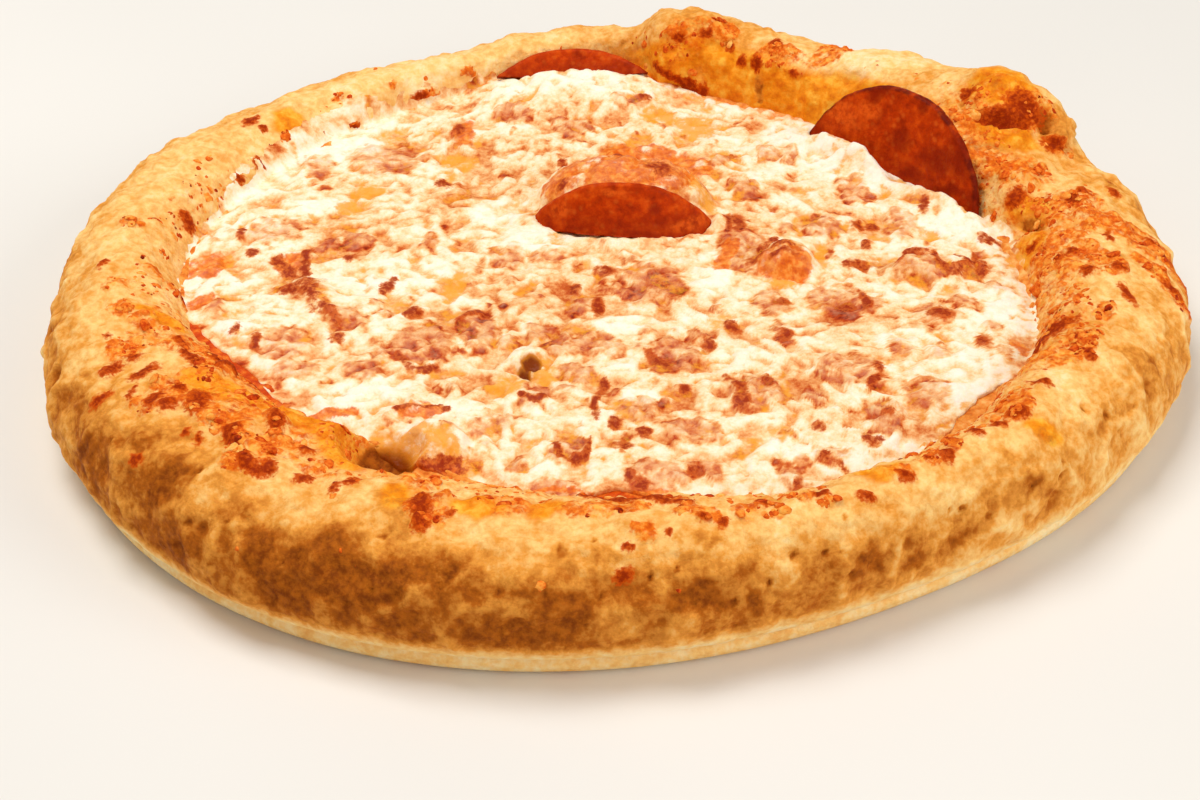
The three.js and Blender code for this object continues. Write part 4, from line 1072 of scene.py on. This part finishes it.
def cheese_looks(f, points, out, over, share):
    """The cheese's looks. over says where it laps onto the dough, and share how far the burst bubble is."""
    b, plan = CHEESE_BAKE, f.plan
    low = 1 - smoothstep(f.shreds, 0.15, 0.75)
    pool = low * smoothstep(fractal(plan, 8.0, 250), -0.15, 0.35)
    freckle = 0.35 + 0.65 * smoothstep(fractal(plan, 9.0, 240), -0.2, 0.4)
    freckle = spots(f.wobbled, 4.2, 0.5, (0.5, 1.8), 238) * freckle
    streaks = fractal(f.wobbled * np.array([0.6, 1, 1]), 6.0, 265)
    bake = b["base"] + b["middle"] * smoothstep(out, 0.95, 0.55) + b["patches"] * fractal(plan, 15.0, 262)
    bake = bake + b["streaks"] * streaks + b["crumbled"] * f.crumbled
    # Darker in the low places between the shreds and paler on them: partly oil and bake, partly painted shade
    # and painted light.
    bake += b["low"] * low - b["shreds"] * f.shreds - b["pale"] * f.pale + b["freckles"] * freckle
    verge = b["edge"] + b["edge patches"] * smoothstep(fractal(plan, 7.0, 267), 0.0, 0.4)
    bake += smoothstep(out, 0.965, 0.995) * verge * (1 - f.pale)
    bake += over * (b["lap"] + b["lap patches"] * smoothstep(fractal(points, 4.0, 275), 0.05, 0.4))
    brown = b["blotches"] + b["blotch skin"] * smoothstep(f.skin, -0.05, 0.35)
    bake = np.maximum(bake, b["least"]) + f.blotch * brown
    ring = smoothstep(f.blotch, 0.05, 0.4) * smoothstep(f.blotch, 0.85, 0.5)
    ring = b["rings"] * ring * smoothstep(fractal(plan, 5.0, 269), -0.5, 0.3)
    bake += ring + b["scorch"] * smoothstep(f.scorch, 0.0, 0.7)
    bake += b["glaze"] * f.glaze
    # Painted shade in the burst bubble, darker the lower the cheese lies.
    deep = smoothstep(points[:, 2] + 0.8 * f.crumbled, 21.5, 17.8)
    crater_shade = smoothstep(share + 0.2 * f.crumbled, 1.3, 0.9) * (0.1 + 0.85 * deep)
    wet = 0.75 * np.maximum(f.glaze, smoothstep(share, 1.4, 1.1))
    return {
        "bake": bake,
        "ruddy": smoothstep(f.blotch, 0.35, 1.0) * smoothstep(f.scorch, 0.25, 0.0),
        "scorch": f.scorch,
        "pit_shade": np.maximum(smoothstep(f.holes, 0.0, 0.8), crater_shade),
        "oil": np.maximum(np.maximum(smoothstep(f.oil, 0.2, 0.9), 0.6 * pool), wet),
        "toasted": f.toasted,
    }


def cheese_mesh(points, looks, material):
    """The cheese with a skirt down into the sauce and a flat underside."""
    side = CHEESE_CELLS + 1
    index = np.arange(side * side).reshape(side, side)
    loop = np.concatenate([index[0, :-1], index[:-1, -1], index[-1, :0:-1], index[:0:-1, 0]])
    brim = points[loop]
    skirt = [brim + UP * drop for drop in (-1.2, -3.0)]
    skirt.append(np.concatenate([brim[:, :2], np.full((len(loop), 1), CHEESE_UNDER)], 1))
    all_points = np.concatenate([points, *skirt, [[0, 0, CHEESE_UNDER]]])
    faces = grid_faces(side, side, False).tolist()
    loops = [loop] + [len(points) + np.arange(len(loop)) + k * len(loop) for k in range(len(skirt))]
    for a, b in zip(loops, loops[1:]):
        faces += band(a, b)
    faces += fan(loops[-1], len(all_points) - 1)
    for key, values in looks.items():
        looks[key] = np.concatenate([values, *[values[loop]] * len(skirt), [0.0]])
    build("melted_cheese", material, all_points, faces, looks, ["cheese"])


def make_cheese(material, rim_tree):
    flat, azimuth, out, farther = cheese_plan()
    level, drape = cheese_levels(flat, azimuth, out, farther, rim_tree)
    out = out.ravel()
    border = smoothstep(out, 0.985, 0.93)
    points = np.concatenate([flat.reshape(-1, 2), level.reshape(-1, 1)], 1)
    f = cheese_forms(points)
    points[:, 2] += cheese_relief(f, points, border)
    lapped = drape.ravel() + LAP_THICKNESS * smoothstep(out, 1.0, 0.96) - 0.3 + 0.25 * f.shreds * border
    over = smoothstep(lapped - points[:, 2], 0.0, 2.0)
    points[:, 2] = np.maximum(points[:, 2], lapped)
    points[:, 2] += CHEESE_RELIEF["lap"] * over * border * fractal(points, 3.0, 271)
    crater_level, share = under_crater(points)
    points[:, 2] = np.where(share < 1.6, np.minimum(points[:, 2], crater_level), points[:, 2])
    cheese_mesh(points, cheese_looks(f, points, out, over, share), material)


# ---- Sauce ----
def make_sauce(material):
    azimuths = np.radians(np.arange(SAUCE_COLUMNS) * 360 / SAUCE_COLUMNS)
    edge = smoothed(cheese_edge(azimuths), 3, 0, True)
    ways = column_ways(SAUCE_COLUMNS)
    rows = []
    for t in np.linspace(0, 1, SAUCE_ROWS):
        radius = edge - SAUCE_INSIDE + SAUCE_WIDTH * t
        level = SAUCE_LOW + (SAUCE_HIGH - SAUCE_LOW) * smoothstep(radius, edge - 6, edge + 1)
        rows.append(ways * radius[:, None] + UP * level[:, None])
    top = np.concatenate(rows)
    top[:, 2] += 0.5 * fractal(top, 6.0, 301) + 0.35 * fractal(top, 2.2, 305, 2)
    top[:, 2] = np.minimum(top[:, 2], under_crater(top)[0] - CRATER_IN_SAUCE)
    under = np.concatenate([rows[0], rows[-1]])
    under[:, 2] = SAUCE_UNDER
    points = np.concatenate([top, under])
    azimuth = np.degrees(np.arctan2(points[:, 1], points[:, 0]))
    wet = np.max([around(azimuth, a, w) for a, w in SAUCE_SHOWS], axis=0)
    wet = smoothstep(wet + 0.3 * fractal(points, 5.0, 309), 0.1, 0.5)
    inner = np.arange(SAUCE_COLUMNS)
    outer, inner_under, outer_under = (inner + len(top) + k * SAUCE_COLUMNS for k in (-1, 0, 1))
    faces = grid_faces(SAUCE_ROWS, SAUCE_COLUMNS, True)[:, ::-1].tolist()
    faces += band(inner, inner_under, True) + band(outer, outer_under) + band(inner_under, outer_under, True)
    build("tomato_sauce", material, points, faces, {"wet": wet}, ["sauce"])


# ---- Salami ----
def slice_disc():
    """A round slice with a rounded edge, row after row from one face's middle to the other's."""
    radius, half, rounding = SLICE["radius"], SLICE["thickness"] / 2, SLICE["rounding"]
    turns = np.linspace(0, 2 * math.pi, SLICE_SIDES, endpoint=False)
    radii = np.linspace(0, 1, SLICE_RADII) ** 0.8 * radius
    rows = []
    for side in (-1, 1):
        for r in radii[::-side]:
            edge_round = math.sqrt(max(0.0, 1 - max(0.0, (r - radius + rounding) / rounding) ** 2))
            thick = half * (0.35 + 0.65 * edge_round)
            level = np.full(SLICE_SIDES, side * thick)
            rows.append(np.stack([r * np.cos(turns), r * np.sin(turns), level], 1))
    return np.concatenate(rows)


def make_slice(name, material, foot, turn, lean, shown, bulge, wave, charred):
    """A slice that stands in the cheese, bulged and waved, and leans back from its foot."""
    radius, buried = SLICE["radius"], SLICE["buried"]
    points = slice_disc()
    rim = np.linalg.norm(points[:, :2], axis=1) / radius
    uneven = 0.012 * fractal(points * PLAN, 9.0, 401) + 0.006 * fractal(points * PLAN, 2.4, 403)
    points[:, :2] *= (1 + rim * uneven)[:, None]
    points[:, 2] += 0.5 * fractal(points * PLAN, 10.0, 405) + 0.16 * fractal(points, 2.5, 409, 2)
    points[:, 1] += shown - radius
    height = points[:, 1].copy()
    cut = height < -buried
    cut_half = math.sqrt(radius**2 - (radius - shown - buried) ** 2)
    points[cut, 0] = np.clip(points[cut, 0], -cut_half, cut_half)
    points[cut, 1] = -buried
    across = points[:, 0] / math.sqrt(radius**2 - (radius - shown) ** 2)
    points[:, 2] += bulge * (1 - across**2) + wave * np.sin(across * RIPPLES + foot[0]) * np.abs(across)
    tilt, spin = math.radians(90 - lean), math.radians(turn)
    x, y, z = points.T
    y, z = y * math.cos(tilt) - z * math.sin(tilt), y * math.sin(tilt) + z * math.cos(tilt)
    x, y = x * math.cos(spin) - y * math.sin(spin), x * math.sin(spin) + y * math.cos(spin)
    placed = np.stack([x, y, z], 1) + foot
    faces = grid_faces(2 * SLICE_RADII, SLICE_SIDES, True).tolist()
    # Painted shade, darker towards the foot where the slice goes into the cheese
    shade = 0.7 * smoothstep(height, shown * 0.55, -1.0) * (0.75 + 0.25 * noise(points, 5.0, 413))
    # The looks: char along the edge, painted shade near the foot with some char, and painted highlights
    looks = {
        "edge": charred * smoothstep(rim, 0.94, 0.99),
        "shade": np.maximum(shade, marked(placed, CHARRED_AND_SHADED_SALAMI, 1.2, 417, 1.2)),
        "highlight": marked(placed, SALAMI_HIGHLIGHTS, 2.4, 421, 1.3),
    }
    build(name + "_slice", material, placed, faces, looks, [name])


# ---- Toasted crumbs ----
def make_crumbs(material, surface, normals, want):
    """Small toasted lumps of cheese and crumb, set in the dough's inner top."""
    lump = bmesh.new()
    bmesh.ops.create_icosphere(lump, subdivisions=2, radius=1.0)
    unit = np.array([v.co for v in lump.verts])
    lump_faces = np.array([[v.index for v in f.verts] for f in lump.faces])
    lump.free()
    rng = np.random.default_rng(CRUMB_SEED)
    flat, ways = surface.reshape(-1, 3), normals.reshape(-1, 3)
    clumps = smoothstep(fractal(flat, 7.0, 501), -0.2, 0.35)
    bare = (flat[:, 2] > CRUMBS_ABOVE) & (ways[:, 2] > 0.1)
    chance = np.clip(want, 0, 1) ** 1.5 * clumps * bare
    chosen = rng.choice(len(flat), CRUMBS, p=chance / chance.sum())
    shades = 0.5 + 0.3 * fractal(flat[chosen], 6.0, 509)
    points, faces, tones = [], [], []
    for n, i in enumerate(chosen):
        size = CRUMB_SIZES[0] + (CRUMB_SIZES[1] - CRUMB_SIZES[0]) * rng.random() ** 2.4
        turned, _ = np.linalg.qr(rng.normal(size=(3, 3)))
        turned *= np.sign(np.linalg.det(turned))  # no mirrored lumps
        body = unit @ turned * (1 + 0.5 * noise(unit + n * 3.0, 0.9, 505))[:, None]
        body *= rng.uniform(0.7, 1.3, 3) * size
        body -= np.outer(body @ ways[i], ways[i]) * (1 - CRUMB_FLATNESS)
        body += flat[i] - ways[i] * size * rng.uniform(0.15, 0.5)
        tone = shades[n] + rng.normal(0, 0.12) + 0.12 * (size < 1.0)
        points.append(body)
        faces.append(lump_faces + n * len(unit))
        tones.append(np.full(len(unit), np.clip(tone, 0.05, 1.0)))
    looks = {"tone": np.concatenate(tones)}
    build("crust_crumbs", material, np.concatenate(points), np.concatenate(faces).tolist(), looks)


salami_look = salami_material()
rim, rim_normals, crumbs_wanted = make_dough(dough_material())
make_crumbs(crumb_material(), rim, rim_normals, crumbs_wanted)
make_cheese(cheese_material(), tree_of_rim(rim))
make_sauce(sauce_material())
for slice_name, settings in SLICES.items():
    make_slice(slice_name, salami_look, **settings)


# ---- Floor, light and camera, in metres ----
def make_floor():
    mesh = bpy.data.meshes.new("studio_floor")
    half = FLOOR_HALF
    corners = [(-half, -half, 0), (half, -half, 0), (half, half, 0), (-half, half, 0)]
    mesh.from_pydata(corners, [], [(0, 1, 2, 3)])
    s = Shader("studio_floor")
    s.tree.links.new(s.ramp(s.grain(300, 2), FLOOR_TONES), s.surface.inputs["Base Color"])
    s.surface.inputs["Roughness"].default_value = 0.9
    mesh.materials.append(s.material)
    floor = bpy.data.objects.new("studio_floor", mesh)
    floor.location.z = -FLOOR_GAP
    bpy.context.scene.collection.objects.link(floor)


def make_light(name, at, size, power, colour):
    """A square lamp that looks at the pizza."""
    lamp = bpy.data.lights.new(name, "AREA")
    lamp.size, lamp.energy, lamp.color = size, power, colour
    light = bpy.data.objects.new(name, lamp)
    light.location = at
    light.rotation_euler = (Vector((0, 0, 0.02)) - Vector(at)).to_track_quat("-Z", "Y").to_euler()
    bpy.context.scene.collection.objects.link(light)


make_floor()
make_light("key", (-0.4, 0.2, 1.3), 0.7, 14.2, (1.0, 0.98, 0.94))
make_light("side", (1.1, -0.5, 0.7), 0.8, 7.6, (1.0, 0.97, 0.93))
make_light("fill", (-0.1, -1.3, 0.4), 1.2, 2.9, (1.0, 0.96, 0.9))
world = bpy.data.worlds.new("studio")
world.use_nodes = True
background = world.node_tree.nodes["Background"]
background.inputs["Color"].default_value = (1.0, 0.98, 0.95, 1.0)
background.inputs["Strength"].default_value = 0.345
scene = bpy.context.scene
scene.world = world
scene.view_settings.view_transform = "Standard"

camera_data = bpy.data.cameras.new("camera")
camera_data.lens, camera_data.sensor_width = LENS, SENSOR
camera = bpy.data.objects.new("camera", camera_data)
camera.location = (CAMERA_AT + PIZZA_MIDDLE) * MM
camera.rotation_euler = Vector(AHEAD).to_track_quat("-Z", "Y").to_euler()
scene.collection.objects.link(camera)
scene.camera = camera
